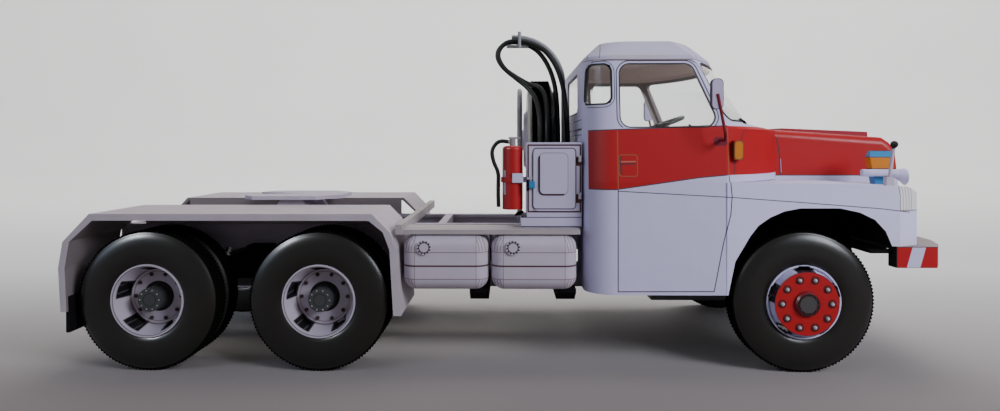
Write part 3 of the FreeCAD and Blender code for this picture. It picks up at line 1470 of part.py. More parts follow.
def build_bonnet(cab_parts):
    """A hood with rounded shoulders and a raised strip along its middle, cut to the cowl's curve."""
    form = padded("bonnet_form", "XZ_Plane", "-bonnet_half", "2 * bonnet_half", bonnet_outline("0"))
    side, low = num("bonnet_half"), num("cab_waist")
    round_edges(form, "bonnet_round", lambda middle, run: abs(abs(middle.y) - side) < edge_near and
                middle.z > low + edge_near and abs(run.y) < edge_near and middle.x > num(behind("cab_front")))
    hump = padded("bonnet_hump", "XZ_Plane", "-hump_half", "2 * hump_half", [
        (ahead("hump_rear"), "cab_waist + bonnet_round"), (ahead("hump_front"), "cab_waist + bonnet_round"),
        (ahead("hump_front"), "bonnet_front_top + hump_rise"),
        (ahead("hump_rear"), "bonnet_rear_top - bonnet_back_rise / 2 + hump_rise"),
    ])
    inside = padded("bonnet_inside", "XZ_Plane", "-(bonnet_half - card)", "2 * (bonnet_half - card)",
                    bonnet_outline("card"))
    hollow = cut("bonnet_hollow", fuse("bonnet_raw", form, hump), inside)
    cowl_block = shaped("cowl_block", cab_parts[0].fuse([cab_parts[1], cab_parts[2], cab_parts[3]]))
    keep(cut("bonnet", hollow, cowl_block), "bonnet")
    build_grille()
    return cowl_block


edge_near = 0.05


def build_grille():
    """The panel under the bonnet's nose, with level slats across its opening."""
    body = padded("grille_panel", "YZ_Plane", ahead("bonnet_nose - grille_thickness"), "grille_thickness", [
        ("-grille_half", "bumper_top"), ("grille_half", "bumper_top"),
        ("grille_half", "cab_waist - bonnet_tuck"), ("-grille_half", "cab_waist - bonnet_tuck"),
    ])
    opening = new_sketch(body, "grille_opening", "YZ_Plane", ahead("bonnet_nose + overrun"))
    draw_round_box(opening, "-grille_opening_half", "grille_opening_half", "grille_opening_bottom",
                   "grille_opening_top", "screen_round")
    add_pocket(body, opening, "grille_thickness + 2 * overrun")
    slats = [body]
    pitch = "(grille_opening_top - grille_opening_bottom) / (slat_count + 1)"
    for number in range(1, int(num("slat_count")) + 1):
        middle = f"grille_opening_bottom + {number} * {pitch}"
        slats.append(box(f"slat_{number}",
                         (ahead("bonnet_nose - grille_thickness"), "-grille_opening_half",
                          f"{middle} - slat_thickness / 2"),
                         (ahead("bonnet_nose - grille_thickness / 4"), "grille_opening_half",
                          f"{middle} + slat_thickness / 2")))
    keep(fuse("grille_whole", *slats), "grille")


def arch_points(inset, foot):
    """The wheel arch from its rear foot over the tyre to its front foot, moved in by inset."""
    lean = f"arch_slope_share * ({inset})"
    return [
        (behind(f"arch_rear_foot - ({inset})"), foot),
        (behind(f"arch_rear_low_set - ({inset})"), "arch_rear_low"),
        (behind(f"arch_rear_mid_set - ({inset})"), "arch_rear_mid"),
        (behind(f"arch_rear_upper_set - {lean}"), f"arch_rear_upper - {lean}"),
        (behind(f"arch_rear_high_set - {lean}"), f"arch_rear_high - {lean}"),
        (behind(f"arch_rear_top_set - {lean} / 2"), f"arch_rear_top - ({inset})"),
        (behind("arch_top_rear"), f"arch_top - ({inset})"),
        (ahead("arch_top_front"), f"arch_top - ({inset})"),
        (ahead(f"arch_front_high_set - {lean} / 2"), f"arch_front_high - ({inset})"),
        (ahead(f"arch_front_upper_set - {lean}"), f"arch_front_upper - {lean}"),
        (ahead(f"arch_front_mid_set - ({inset})"), "arch_front_mid"),
        (ahead(f"arch_front_foot - ({inset})"), "bumper_top"),
    ]


def wing_outline(inset, rear, foot):
    """Side view of the wing above the arch, its top and nose drawn in by inset."""
    return [
        (behind(rear), f"wing_top_rear - ({inset})"), (ahead("wing_crown"), f"wing_top_crown - ({inset})"),
        (ahead("wing_nose_start"), f"wing_top_front - ({inset})"),
        (ahead(f"wing_brow - arch_slope_share * ({inset})"),
         f"wing_brow_height - arch_slope_share * ({inset})"),
        (ahead(f"wing_nose_high - ({inset})"), "wing_nose_high_height"),
        (ahead(f"wing_nose - ({inset})"), "wing_nose_drop"), (ahead(f"wing_foot - ({inset})"), foot),
    ]


def wing_plan(inset):
    """Plan of the wing with its rounded outer front corner."""
    lean = f"arch_slope_share * ({inset})"
    front = ahead(f"wing_nose + overrun - ({inset})")
    return [
        (behind("cab_front + overrun"), "-(bonnet_half)"),
        (behind("cab_front + overrun"), f"-(wing_outer - ({inset}))"),
        (ahead("wing_corner"), f"-(wing_outer - ({inset}))"),
        (ahead(f"wing_corner_mid - {lean}"), f"-(wing_corner_mid_side - {lean})"),
        (ahead(f"wing_corner_front - ({inset})"), f"-(wing_corner_front_side - {lean})"),
        (front, "-(wing_inner_front)"), (front, "-(bonnet_half)"),
    ]


def build_wings(cowl_block):
    """Each wing is a side panel, a top and a rounded front over an open arch."""
    width = "wing_outer - bonnet_half"
    side = padded("wing_side", "XZ_Plane", "bonnet_half", width,
                  wing_outline("0", "cab_front", "bumper_top") + arch_points("0", "cab_bottom")[::-1]
                  + [(behind("cab_front"), "cab_bottom")])
    plan = padded("wing_plan", "XY_Plane", "cab_bottom", "wing_top_rear - cab_bottom", wing_plan("0"))
    outer = common("wing_outer_form", side, plan)
    room = padded("wing_room", "XZ_Plane", "bonnet_half", width,
                  wing_outline("card", "cab_front + overrun", "bumper_top - overrun")
                  + [(behind("cab_front + overrun"), "bumper_top - overrun - cab_bottom")])
    room_plan = padded("wing_room_plan", "XY_Plane", "-overrun", "wing_top_rear + overrun", wing_plan("card"))
    right = cut("wing_right", outer, common("wing_hollow", room, room_plan))
    keep(right, "wing_right")
    keep(mirrored("wing_left", right), "wing_left")
    build_liners(cowl_block)
    return outer


def build_liners(cowl_block):
    """Black sheet over each front wheel, with an inner wall down towards the axle."""
    width = "wing_outer - card - liner_inner"
    over = arch_points("-card", "cab_bottom")
    under = arch_points("0", "cab_bottom")
    roof = padded("liner_roof", "XZ_Plane", "liner_inner", width, over + under[::-1])
    wall = padded("liner_wall", "XZ_Plane", "liner_inner", "card",
                  [(words, "liner_wall_bottom" if number in (0, len(under) - 1) else up)
                   for number, (words, up) in enumerate(under)])
    foot = box("liner_foot", (ahead("liner_foot_rear"), "-(wing_outer - card)", "liner_foot_bottom"),
               (ahead("bumper_end - liner_gap"), "-liner_inner", "liner_foot_bottom + card"))
    side = cut("liner_trimmed", fuse("liner_side", roof, wall, foot), cowl_block)
    keep(both_sides("arch_liners", side), "arch_liners")


def bumper_outline(inset, rear):
    """Plan of the bumper: round the front from the right end to the left, then the points behind."""
    half = [
        (ahead(f"bumper_end + ({inset})"), f"(bumper_outer - ({inset}))"),
        (ahead(f"bumper_end_front - arch_slope_share * ({inset})"), f"(bumper_outer - ({inset}))"),
        (ahead(f"bumper_knee_front - ({inset})"), f"(bumper_knee - arch_slope_share * ({inset}))"),
        (ahead(f"bumper_shoulder_front - ({inset})"), "bumper_shoulder"),
        (ahead(f"bumper_flat_front - ({inset})"), "bumper_flat"),
    ]
    right = [(across, f"-{side}") for across, side in half]
    return right + [(ahead(f"front_overhang - ({inset})"), "0")] + half[::-1] + rear


def build_bumper():
    """A deep top, a front that wraps round to the ends, open below, and the two arms to the rails."""
    inner = "(bumper_outer - bumper_return)"
    rear = [(ahead("bumper_end"), inner), (ahead("bumper_back"), inner),
            (ahead("bumper_back"), f"-{inner}"), (ahead("bumper_end"), f"-{inner}")]
    body = padded("bumper_form", "XY_Plane", "bumper_bottom", "bumper_top - bumper_bottom",
                  bumper_outline("0", rear))
    room = new_sketch(body, "bumper_room", "XY_Plane", "bumper_top - bumper_wall")
    draw_outline(room, bumper_outline("bumper_wall", []))
    add_pocket(body, room, "bumper_top - bumper_bottom + overrun")
    arm = box("bumper_arm", (ahead("rail_front"), "-rail_outer", "rail_top - rail_height"),
              (ahead("bumper_flat_front - bumper_wall / 2"), "-(rail_outer - bumper_arm_width)",
               "bumper_top - bumper_wall / 2"))
    keep(fuse("bumper_whole", body, arm, mirrored("bumper_arm_left", arm)), "bumper")


# Lamps, marker rods and mirrors

def build_horns():
    """Trumpet housings: a thin tube that widens forwards and dips a little at its mouth."""
    y = -num("horn_offset")
    rings = []
    for place, height, radius in (("horn_rear", "horn_height", "horn_neck_radius"),
                                  ("horn_neck", "horn_height", "horn_neck_radius"),
                                  ("horn_flare", "horn_height - horn_dip / 3", "horn_flare_radius"),
                                  ("horn_mouth", "horn_height - horn_dip", "horn_mouth_radius")):
        centre = Vector(num(ahead(place)), y, num(height))
        rings.append(Part.Wire([Part.Circle(centre, Vector(1, 0, 0), num(radius)).toShape()]))
    keep(both_sides("lamp_horns", shaped("horn", Part.makeLoft(rings, True, True))), "lamp_horns")


def build_lamps(wing_form, cowl_block):
    """Tapered lamp boxes on the wings, turn lamps on the cowl, and round headlamps in the wings' fronts."""
    outer = "horn_offset - horn_flare_radius - lamp_gap"
    inner = f"{outer} - lamp_depth"
    side = padded("lamp_side", "XZ_Plane", inner, "lamp_depth", [
        (ahead("lamp_rear + lamp_taper"), "wing_top_front - card"),
        (ahead("lamp_front"), "wing_top_front - card"),
        (ahead("lamp_front"), "lamp_top"), (ahead("lamp_rear + lamp_taper / 2"), "lamp_top"),
        (ahead("lamp_rear"), "lamp_top - lamp_facet"),
    ])
    front = padded("lamp_front_form", "YZ_Plane", ahead("lamp_rear"), "lamp_front - lamp_rear", [
        (f"-({inner})", "wing_top_front - card"), (f"-({inner})", "lamp_top"),
        (f"-({outer}) + lamp_facet", "lamp_top"), (f"-({outer})", "lamp_top - lamp_facet"),
        (f"-({outer})", "wing_top_front - card"),
    ])
    lamp = cut("lamp_seated", common("lamp_form", side, front), wing_form)
    turn = box("turn_lamp", (behind("turn_lamp_place + turn_lamp_length / 2"), "-turn_lamp_outer",
                             "turn_lamp_bottom"),
               (behind("turn_lamp_place - turn_lamp_length / 2"), "-turn_lamp_outer + turn_lamp_depth",
                "turn_lamp_bottom + turn_lamp_height"))
    turn_seated = cut("turn_lamp_seated", turn, cowl_block)
    headlamp = rod("headlamp", "x", (ahead("headlamp_back"), "-headlamp_offset", "headlamp_height"),
                   "headlamp_radius", "headlamp_length")
    headlamp_seated = cut("headlamp_seated", headlamp, wing_form)
    lamps = [both_sides("lamp_boxes", lamp), both_sides("turn_lamps", turn_seated),
             both_sides("headlamps", headlamp_seated)]
    keep(compound("lamps_all", *lamps), "lamps")


def bar_between(start, end, radius):
    run = end - start
    return Part.makeCylinder(radius, run.Length, start, run)


def build_marker_rods(wing_form):
    """A block on the wing's shoulder, a thin leaning rod and a ball."""
    block = box("marker_block", (ahead("rod_place - rod_block / 2"), "-rod_offset - rod_block / 2",
                                 "rod_block_top - rod_block_height"),
                (ahead("rod_place + rod_block / 2"), "-rod_offset + rod_block / 2", "rod_block_top"))
    foot = Vector(num(ahead("rod_place")), -num("rod_offset"), num("rod_block_top - rod_block_height / 2"))
    ball = Vector(num(ahead("rod_place + rod_lean")), -num("rod_offset"), num("rod_top"))
    stick = shaped("marker_stick", bar_between(foot, ball, num("rod_radius")))
    knob = doc.addObject("Part::Sphere", "marker_ball")
    knob.setExpression("Radius", text("ball_radius"))
    place_at(knob, ahead("rod_place + rod_lean"), "-rod_offset", "rod_top")
    seated = cut("marker_seated", fuse("marker_raw", block, stick, knob), wing_form)
    keep(both_sides("marker_rods", seated), "marker_rods")


def build_mirrors():
    """Rounded housing on a bent wire arm from the door."""
    body = doc.addObject("PartDesign::Body", "mirror_shell")
    sketch = new_sketch(body, "mirror_outline", "XZ_Plane", "mirror_offset - mirror_thickness / 2")
    rear, front = behind("mirror_place + mirror_width / 2"), behind("mirror_place - mirror_width / 2")
    draw_round_box(sketch, rear, front,
                   "mirror_height - mirror_length / 2", "mirror_height + mirror_length / 2", "mirror_round")
    add_pad(body, sketch, "mirror_thickness")
    rise = "(arm_foot_height - arm_radius - cab_waist) / (cab_belt - cab_waist)"
    half = f"(cab_half_waist + (cab_half_belt - cab_half_waist) * {rise})"
    near = -num("mirror_offset + mirror_thickness / 2")
    points = [
        Vector(num(behind("arm_foot")), -num(half), num("arm_foot_height")),
        Vector(num(behind("arm_foot")), near, num("arm_foot_height")),
        Vector(num(behind("mirror_place")), near, num("mirror_height")),
    ]
    arm = shaped("mirror_arm", tube_along(points, num("arm_radius")))
    keep(both_sides("mirrors", fuse("mirror_right", body, arm)), "mirrors")


# Air hoses: the routes are points chosen by hand, from the front axle's line back, across and up

hose_routes = {
    "air_hose_inner": [
        (56.2, -9.4, 47.0), (56.2, -9.3, 61.1), (57.0, -9.1, 71.9), (60.6, -8.5, 79.6), (65.6, -8.2, 82.6),
        (70.6, -8.4, 82.8), (73.4, -8.8, 79.7), (71.9, -9.0, 75.8), (67.7, -9.1, 72.9), (64.3, -9.6, 70.9),
        (61.4, -10.6, 70.2), (60.0, -13.2, 67.8), (59.7, -16.3, 63.5), (59.8, -18.95, 59.2),
    ],
    "air_hose_outer": [
        (53.5, -10.9, 47.0), (53.8, -10.9, 61.1), (55.2, -10.8, 72.6), (59.3, -10.6, 80.1), (64.8, -10.3, 82.5),
        (70.3, -10.3, 82.9), (73.2, -10.4, 79.5), (71.5, -10.5, 75.4), (67.4, -10.7, 72.2), (64.3, -12.0, 69.6),
        (62.4, -14.5, 66.5), (61.7, -17.2, 62.7), (61.6, -18.95, 58.8),
    ],
}


def build_air_hoses():
    """Two black hoses up the post, round in a loop, over the spare tyre and down on the tool box."""
    line = num(front_line)
    ends = {
        "air_hose_inner": ((56.2, -9.4), (59.8, -18.95)),
        "air_hose_outer": ((53.5, -10.9), (61.6, -18.95)),
    }
    for name, route in hose_routes.items():
        start, end = ends[name]
        spots = [(*start, num("rail_top + card")), *route, (*end, num("box_top"))]
        points = [Vector(line - back, across, up) for back, across, up in spots]
        keep(shaped(name + "_tube", tube_along(points, num("hose_diameter") / 2)), name)


def main():
    build_wheels()
    build_axles()
    build_backbone()
    build_rails()
    build_cross_members()
    build_springs()
    build_tanks()
    build_tank_rails()
    build_tank_brackets()
    build_mudguards()
    build_fifth_wheel()
    build_toolbox()
    build_extinguisher()
    build_spare()
    build_hose_post()
    cab_parts = build_cab()
    cowl_block = build_bonnet(cab_parts)
    wing_form = build_wings(cowl_block)
    build_bumper()
    build_horns()
    build_lamps(wing_form, cowl_block)
    build_marker_rods(wing_form)
    build_mirrors()
    build_air_hoses()
    doc.recompute()
    faults = [f"{item.Name}: {item.State}" for item in doc.Objects if {"Invalid", "Error"} & set(item.State)]
    faults += [f"{piece.Label}: shape" for piece in kept
               if piece.Shape.isNull() or not piece.Shape.isValid()]
    if faults:
        raise RuntimeError("; ".join(faults))
    for piece in kept:
        piece.Shape.exportStep(f"parts/{piece.Label}.step")
    print(len(kept), "sub-parts")


main()
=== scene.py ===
import math

import bmesh
import bpy
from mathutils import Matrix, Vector


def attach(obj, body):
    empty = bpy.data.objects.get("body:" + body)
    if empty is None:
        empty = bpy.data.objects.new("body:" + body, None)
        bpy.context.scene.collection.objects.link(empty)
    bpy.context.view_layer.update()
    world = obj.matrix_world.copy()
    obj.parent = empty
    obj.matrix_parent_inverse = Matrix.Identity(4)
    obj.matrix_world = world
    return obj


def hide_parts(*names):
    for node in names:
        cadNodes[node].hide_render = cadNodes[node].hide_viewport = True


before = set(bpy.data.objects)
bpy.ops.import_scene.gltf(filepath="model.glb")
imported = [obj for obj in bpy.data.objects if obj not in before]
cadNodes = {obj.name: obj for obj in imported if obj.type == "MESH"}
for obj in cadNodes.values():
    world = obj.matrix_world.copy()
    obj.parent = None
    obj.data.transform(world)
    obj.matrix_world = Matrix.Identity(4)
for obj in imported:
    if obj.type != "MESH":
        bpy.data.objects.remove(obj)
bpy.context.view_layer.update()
print("frame loaded:", len(cadNodes), "nodes")

mm = 0.001
frontAxle = 69.75          # the front axle's line in the frame, in mm
hubHeight = 16.94          # also the tyres' radius


def at(ahead, across, up):
    # a point in metres, from millimetres ahead of the front axle, to the left and above the ground
    return Vector(((frontAxle + ahead) * mm, across * mm, up * mm))


def addObject(name, data):
    item = bpy.data.objects.new(name, data)
    bpy.context.scene.collection.objects.link(item)
    return item


# Camera

cameraSpec = {"place": (-70.04, -204.3, 54.22), "lens": 25.41, "tilt": 89.15, "roll": 0.05, "turn": 0.94,
              "shift": (0.0036, -0.0499), "sensor": 36, "clip": (0.01, 20)}


def makeCamera():
    data = bpy.data.cameras.new("camera")
    data.lens = cameraSpec["lens"]
    data.sensor_width = cameraSpec["sensor"]
    data.shift_x, data.shift_y = cameraSpec["shift"]
    data.clip_start, data.clip_end = cameraSpec["clip"]
    camera = addObject("camera", data)
    camera.location = at(*cameraSpec["place"])
    camera.rotation_euler = [math.radians(cameraSpec[key]) for key in ("tilt", "roll", "turn")]
    bpy.context.scene.camera = camera


makeCamera()
print("camera placed")


# Node helpers: small functions that add a node to the tree of the sockets they are given

def isSocket(value):
    return isinstance(value, bpy.types.NodeSocket)


def treeOf(values):
    return next(value.id_data for value in values if isSocket(value))


def feed(node, values):
    # inputs by name or number, each with a socket to link or a plain value
    for key, value in values.items():
        if isSocket(value):
            node.id_data.links.new(value, node.inputs[key])
        else:
            node.inputs[key].default_value = value


def addNode(tree, kind, values, **settings):
    node = tree.nodes.new(kind)
    for key, value in settings.items():
        setattr(node, key, value)
    feed(node, values)
    return node


def calc(operation, *values, clamp=False):
    return addNode(treeOf(values), "ShaderNodeMath", dict(enumerate(values)), operation=operation,
                   use_clamp=clamp).outputs[0]


def vectorCalc(operation, *values):
    node = addNode(treeOf(values), "ShaderNodeVectorMath", dict(enumerate(values)), operation=operation)
    return node.outputs["Value" if operation in ("LENGTH", "DOT_PRODUCT", "DISTANCE") else "Vector"]


def scaled(vector, amount):
    return addNode(treeOf((vector, amount)), "ShaderNodeVectorMath", {0: vector, "Scale": amount},
                   operation="SCALE").outputs[0]


def split(vector):
    return tuple(addNode(vector.id_data, "ShaderNodeSeparateXYZ", {0: vector}).outputs)


def paint(base, mask, colour):
    # lays a colour over another where the mask is 1
    under, over = [value if isSocket(value) else (*value, 1) for value in (base, colour)]
    return addNode(mask.id_data, "ShaderNodeMix", {"Factor": mask, "A": under, "B": over},
                   data_type="RGBA").outputs["Result"]


def ramp(value, low, high, start=0.0, end=1.0):
    return addNode(value.id_data, "ShaderNodeMapRange", {
        "Value": value, "From Min": low, "From Max": high, "To Min": start, "To Max": end}).outputs["Result"]


def above(value, limit, soft=0.06):
    return ramp(calc("SUBTRACT", value, limit), -soft, soft)


def below(value, limit, soft=0.06):
    return calc("SUBTRACT", 1.0, above(value, limit, soft))


def chained(operation, values):
    result = values[0]
    for value in values[1:]:
        result = calc(operation, result, value)
    return result


def both(*masks):
    return chained("MULTIPLY", masks)


def either(*masks):
    return chained("MAXIMUM", masks)


def between(value, low, high):
    return both(above(value, low), below(value, high))


def noise(vector, **values):
    return addNode(vector.id_data, "ShaderNodeTexNoise", {"Vector": vector, **values}).outputs[0]


def newMaterial(name):
    material = bpy.data.materials.new(name)
    material.use_nodes = True
    return material, material.node_tree


def objectPlace(tree):
    return tree.nodes.new("ShaderNodeTexCoord").outputs["Object"]


def modelPlace(tree):
    # mm ahead of the front axle, to the left and above the ground
    behind = vectorCalc("SUBTRACT", objectPlace(tree), (frontAxle * mm, 0, 0))
    return vectorCalc("MULTIPLY", behind, (1 / mm,) * 3)


# Shared effects as node groups

edgeSpec = {"line": 0.05, "fill": 0.04}          # half the soft edge of a printed line or area, in mm
grainSpec = {"cloud": {"Scale": 0.16, "Detail": 3}, "fibre": {"Scale": 5.5, "Detail": 4, "Roughness": 0.7},
             "fibreShare": 0.35, "relief": 0.00004}


def newGroup(name, inputs, outputs, family="ShaderNodeTree"):
    # inputs and outputs give each socket's kind by its name
    group = bpy.data.node_groups.new(name, family)
    for direction, sockets in (("INPUT", inputs), ("OUTPUT", outputs)):
        for label, kind in sockets.items():
            group.interface.new_socket(label, in_out=direction, socket_type="NodeSocket" + kind)
    return group, group.nodes.new("NodeGroupInput").outputs, group.nodes.new("NodeGroupOutput")


def lineEdge(distance, width):
    edge = calc("SUBTRACT", distance, calc("MULTIPLY", width, 0.5))
    return ramp(edge, edgeSpec["line"], -edgeSpec["line"])


def makePrintedLine():
    # a straight printed line between two points, with hair-fine soft edges
    group, given, result = newGroup("printedLine", {
        "Place": "Vector", "Start": "Vector", "End": "Vector", "Width": "Float"}, {"Mask": "Float"})
    run = vectorCalc("SUBTRACT", given["End"], given["Start"])
    offset = vectorCalc("SUBTRACT", given["Place"], given["Start"])
    along, whole = [vectorCalc("DOT_PRODUCT", vector, run) for vector in (offset, run)]
    share = calc("DIVIDE", along, whole, clamp=True)
    feed(result, {"Mask": lineEdge(vectorCalc("DISTANCE", offset, scaled(run, share)), given["Width"])})
    return group


def makeRoundPanel():
    # a rounded rectangle: its filled area and the line round it
    group, given, result = newGroup("roundPanel", {
        "Place": "Vector", "Centre": "Vector", "Half": "Vector", "Round": "Float", "Width": "Float",
    }, {"Ring": "Float", "Fill": "Float"})
    offset = vectorCalc("ABSOLUTE", vectorCalc("SUBTRACT", given["Place"], given["Centre"]))
    corner = addNode(group, "ShaderNodeCombineXYZ", {axis: given["Round"] for axis in range(3)}).outputs[0]
    out = vectorCalc("ADD", vectorCalc("SUBTRACT", offset, given["Half"]), corner)
    beyond = vectorCalc("LENGTH", vectorCalc("MAXIMUM", out, (0, 0, 0)))
    inside = calc("MINIMUM", either(*split(out)), 0.0)
    distance = calc("SUBTRACT", calc("ADD", beyond, inside), given["Round"])
    feed(result, {"Fill": ramp(distance, edgeSpec["fill"], -edgeSpec["fill"]),
                  "Ring": lineEdge(calc("ABSOLUTE", distance), given["Width"])})
    return group


def makeCardGrain():
    # paper fibres and a faint unevenness of tone
    group, given, result = newGroup("cardGrain", {"Place": "Vector", "Tone": "Float"},
                                    {"Shade": "Float", "Height": "Float"})
    cloud, fibre = [noise(given["Place"], **grainSpec[name]) for name in ("cloud", "fibre")]
    spread = calc("ADD", calc("SUBTRACT", cloud, 0.5),
                  calc("MULTIPLY", calc("SUBTRACT", fibre, 0.5), grainSpec["fibreShare"]))
    feed(result, {"Shade": calc("ADD", 1.0, calc("MULTIPLY", spread, given["Tone"])), "Height": fibre})
    return group


printedLine, roundPanel, cardGrain = makePrintedLine(), makeRoundPanel(), makeCardGrain()


# Print masks: shapes are given in mm in a flattened plane, seen from the side, from behind or from above

flatSide, flatBack, flatTop = (1, 0, 1), (0, 1, 1), (1, 1, 0)
pastAnyPanel = 9           # how far a panel reaches along the direction it doesn't use
insideEdge = (-0.05, 0.02)


def inPlane(spot, keep):
    first, second = spot
    if keep == flatSide:
        return first, 0, second
    return (0, first, second) if keep == flatBack else (first, second, 0)


def flattened(place, keep):
    return vectorCalc("MULTIPLY", place, keep)


def linesMask(place, points, width, keep=flatSide, closed=False):
    # a printed line through several points
    flat = flattened(place, keep)
    ends = points[1:] + points[:1] if closed else points[1:]
    return either(*[addNode(place.id_data, "ShaderNodeGroup", {
        "Place": flat, "Start": inPlane(start, keep), "End": inPlane(end, keep), "Width": width,
    }, node_tree=printedLine).outputs["Mask"] for start, end in zip(points, ends)])


def strokes(place, lines, keep=flatSide):
    # several printed lines, each with its points and its width
    return either(*[linesMask(place, points, width, keep) for points, width in lines])


def panelMask(place, low, high, rounding, width, keep=flatSide):
    # the ring and the fill of a rounded panel between two corners
    centre = inPlane([(a + b) / 2 for a, b in zip(low, high)], keep)
    half = inPlane([abs(b - a) / 2 for a, b in zip(low, high)], keep)
    node = addNode(place.id_data, "ShaderNodeGroup", {
        "Place": flattened(place, keep), "Centre": centre, "Round": rounding, "Width": width,
        "Half": [side if used else rounding + pastAnyPanel for side, used in zip(half, keep)],
    }, node_tree=roundPanel)
    return node.outputs["Ring"], node.outputs["Fill"]


def insideMask(place, centre):
    # 1 on the faces that look towards a point inside the piece
    normal = place.id_data.nodes.new("ShaderNodeTexCoord").outputs["Normal"]
    outward = vectorCalc("NORMALIZE", vectorCalc("SUBTRACT", place, centre))
    return below(vectorCalc("DOT_PRODUCT", normal, outward), *insideEdge)


# Finishes: every card starts from the card's grain, then prints its own colours over it, and some also paint
# light or shade; the clear film has no grain

colours = {
    "white": (0.57, 0.54, 0.75), "warmWhite": (0.5, 0.44, 0.52), "cream": (0.52, 0.45, 0.42),
    "red": (0.4, 0.004, 0.007), "deepRed": (0.17, 0.004, 0.01), "ink": (0.045, 0.03, 0.05),
    "brownInk": (0.075, 0.025, 0.03), "fineInk": (0.2, 0.14, 0.13), "black": (0.008, 0.007, 0.008),
    "grey": (0.12, 0.117, 0.12), "amber": (0.6, 0.19, 0.01), "blue": (0.03, 0.2, 0.42),
    "gold": (0.3, 0.09, 0.035), "rubber": (0.008, 0.007, 0.005), "shadedLining": (0.34, 0.29, 0.28),
    "noseCream": (0.76, 0.72, 0.74), "guard": (0.46, 0.4, 0.44), "litWingWhite": (0.67, 0.64, 0.88),
    "shadedWhite": (0.5, 0.46, 0.62), "rail": (0.38, 0.33, 0.34), "litCeiling": (0.85, 0.7, 0.64),
    "guardInsideShade": (0.22, 0.185, 0.19), "hub": (0.06, 0.055, 0.055), "tube": (0.006, 0.007, 0.006),
    "tread": (0.005, 0.005, 0.004), "handleBarHighlight": (0.5, 0.14, 0.1), "bracketRed": (0.16, 0.004, 0.02),
    "crimson": (0.32, 0.012, 0.03), "topLine": (0.34, 0.14, 0.2), "valve": (0.27, 0.24, 0.25),
    "headlamp": (0.75, 0.76, 0.78), "turnEdge": (0.22, 0.09, 0.03), "rearHub": (0.05, 0.05, 0.05),
    "wire": (0.3, 0.3, 0.31), "hinge": (0.4, 0.36, 0.4), "seat": (0.2, 0.13, 0.1), "steel": (0.055, 0.05, 0.05),
    "bolt": (0.3, 0.3, 0.3), "nutRed": (0.06, 0.035, 0.04), "silver": (0.45, 0.45, 0.47),
}
coatRoughness = 0.3


class Card:
    # one card's material: lay prints a colour over what is there, and finish adds the grain's tone

    def __init__(self, name, colour, roughness=0.62, tone=0.16, bump=0.12, sheen=0.0, shine=0.25):
        self.material, tree = newMaterial(name)
        tree.nodes.clear()
        self.colour = colours[colour]
        self.place = modelPlace(tree)
        self.ahead, self.across, self.up = split(self.place)
        self.wide = calc("ABSOLUTE", self.across)
        grain = addNode(tree, "ShaderNodeGroup", {"Place": self.place, "Tone": tone}, node_tree=cardGrain)
        relief = addNode(tree, "ShaderNodeBump", {"Strength": bump, "Distance": grainSpec["relief"],
                                                  "Height": grain.outputs["Height"]})
        self.shade = grain.outputs["Shade"]
        self.shader = addNode(tree, "ShaderNodeBsdfPrincipled", {
            "Roughness": roughness, "Specular IOR Level": shine, "Normal": relief.outputs[0]})
        if sheen:
            feed(self.shader, {"Coat Weight": sheen, "Coat Roughness": coatRoughness})
        addNode(tree, "ShaderNodeOutputMaterial", {0: self.shader.outputs[0]})

    def lay(self, mask, colour):
        self.colour = paint(self.colour, mask, colours[colour] if isinstance(colour, str) else colour)

    def finish(self):
        feed(self.shader, {"Base Color": scaled(self.colour, self.shade)})
        return self.material


def plainCard(name, colour, **kinds):
    return Card(name, colour, **kinds).finish()


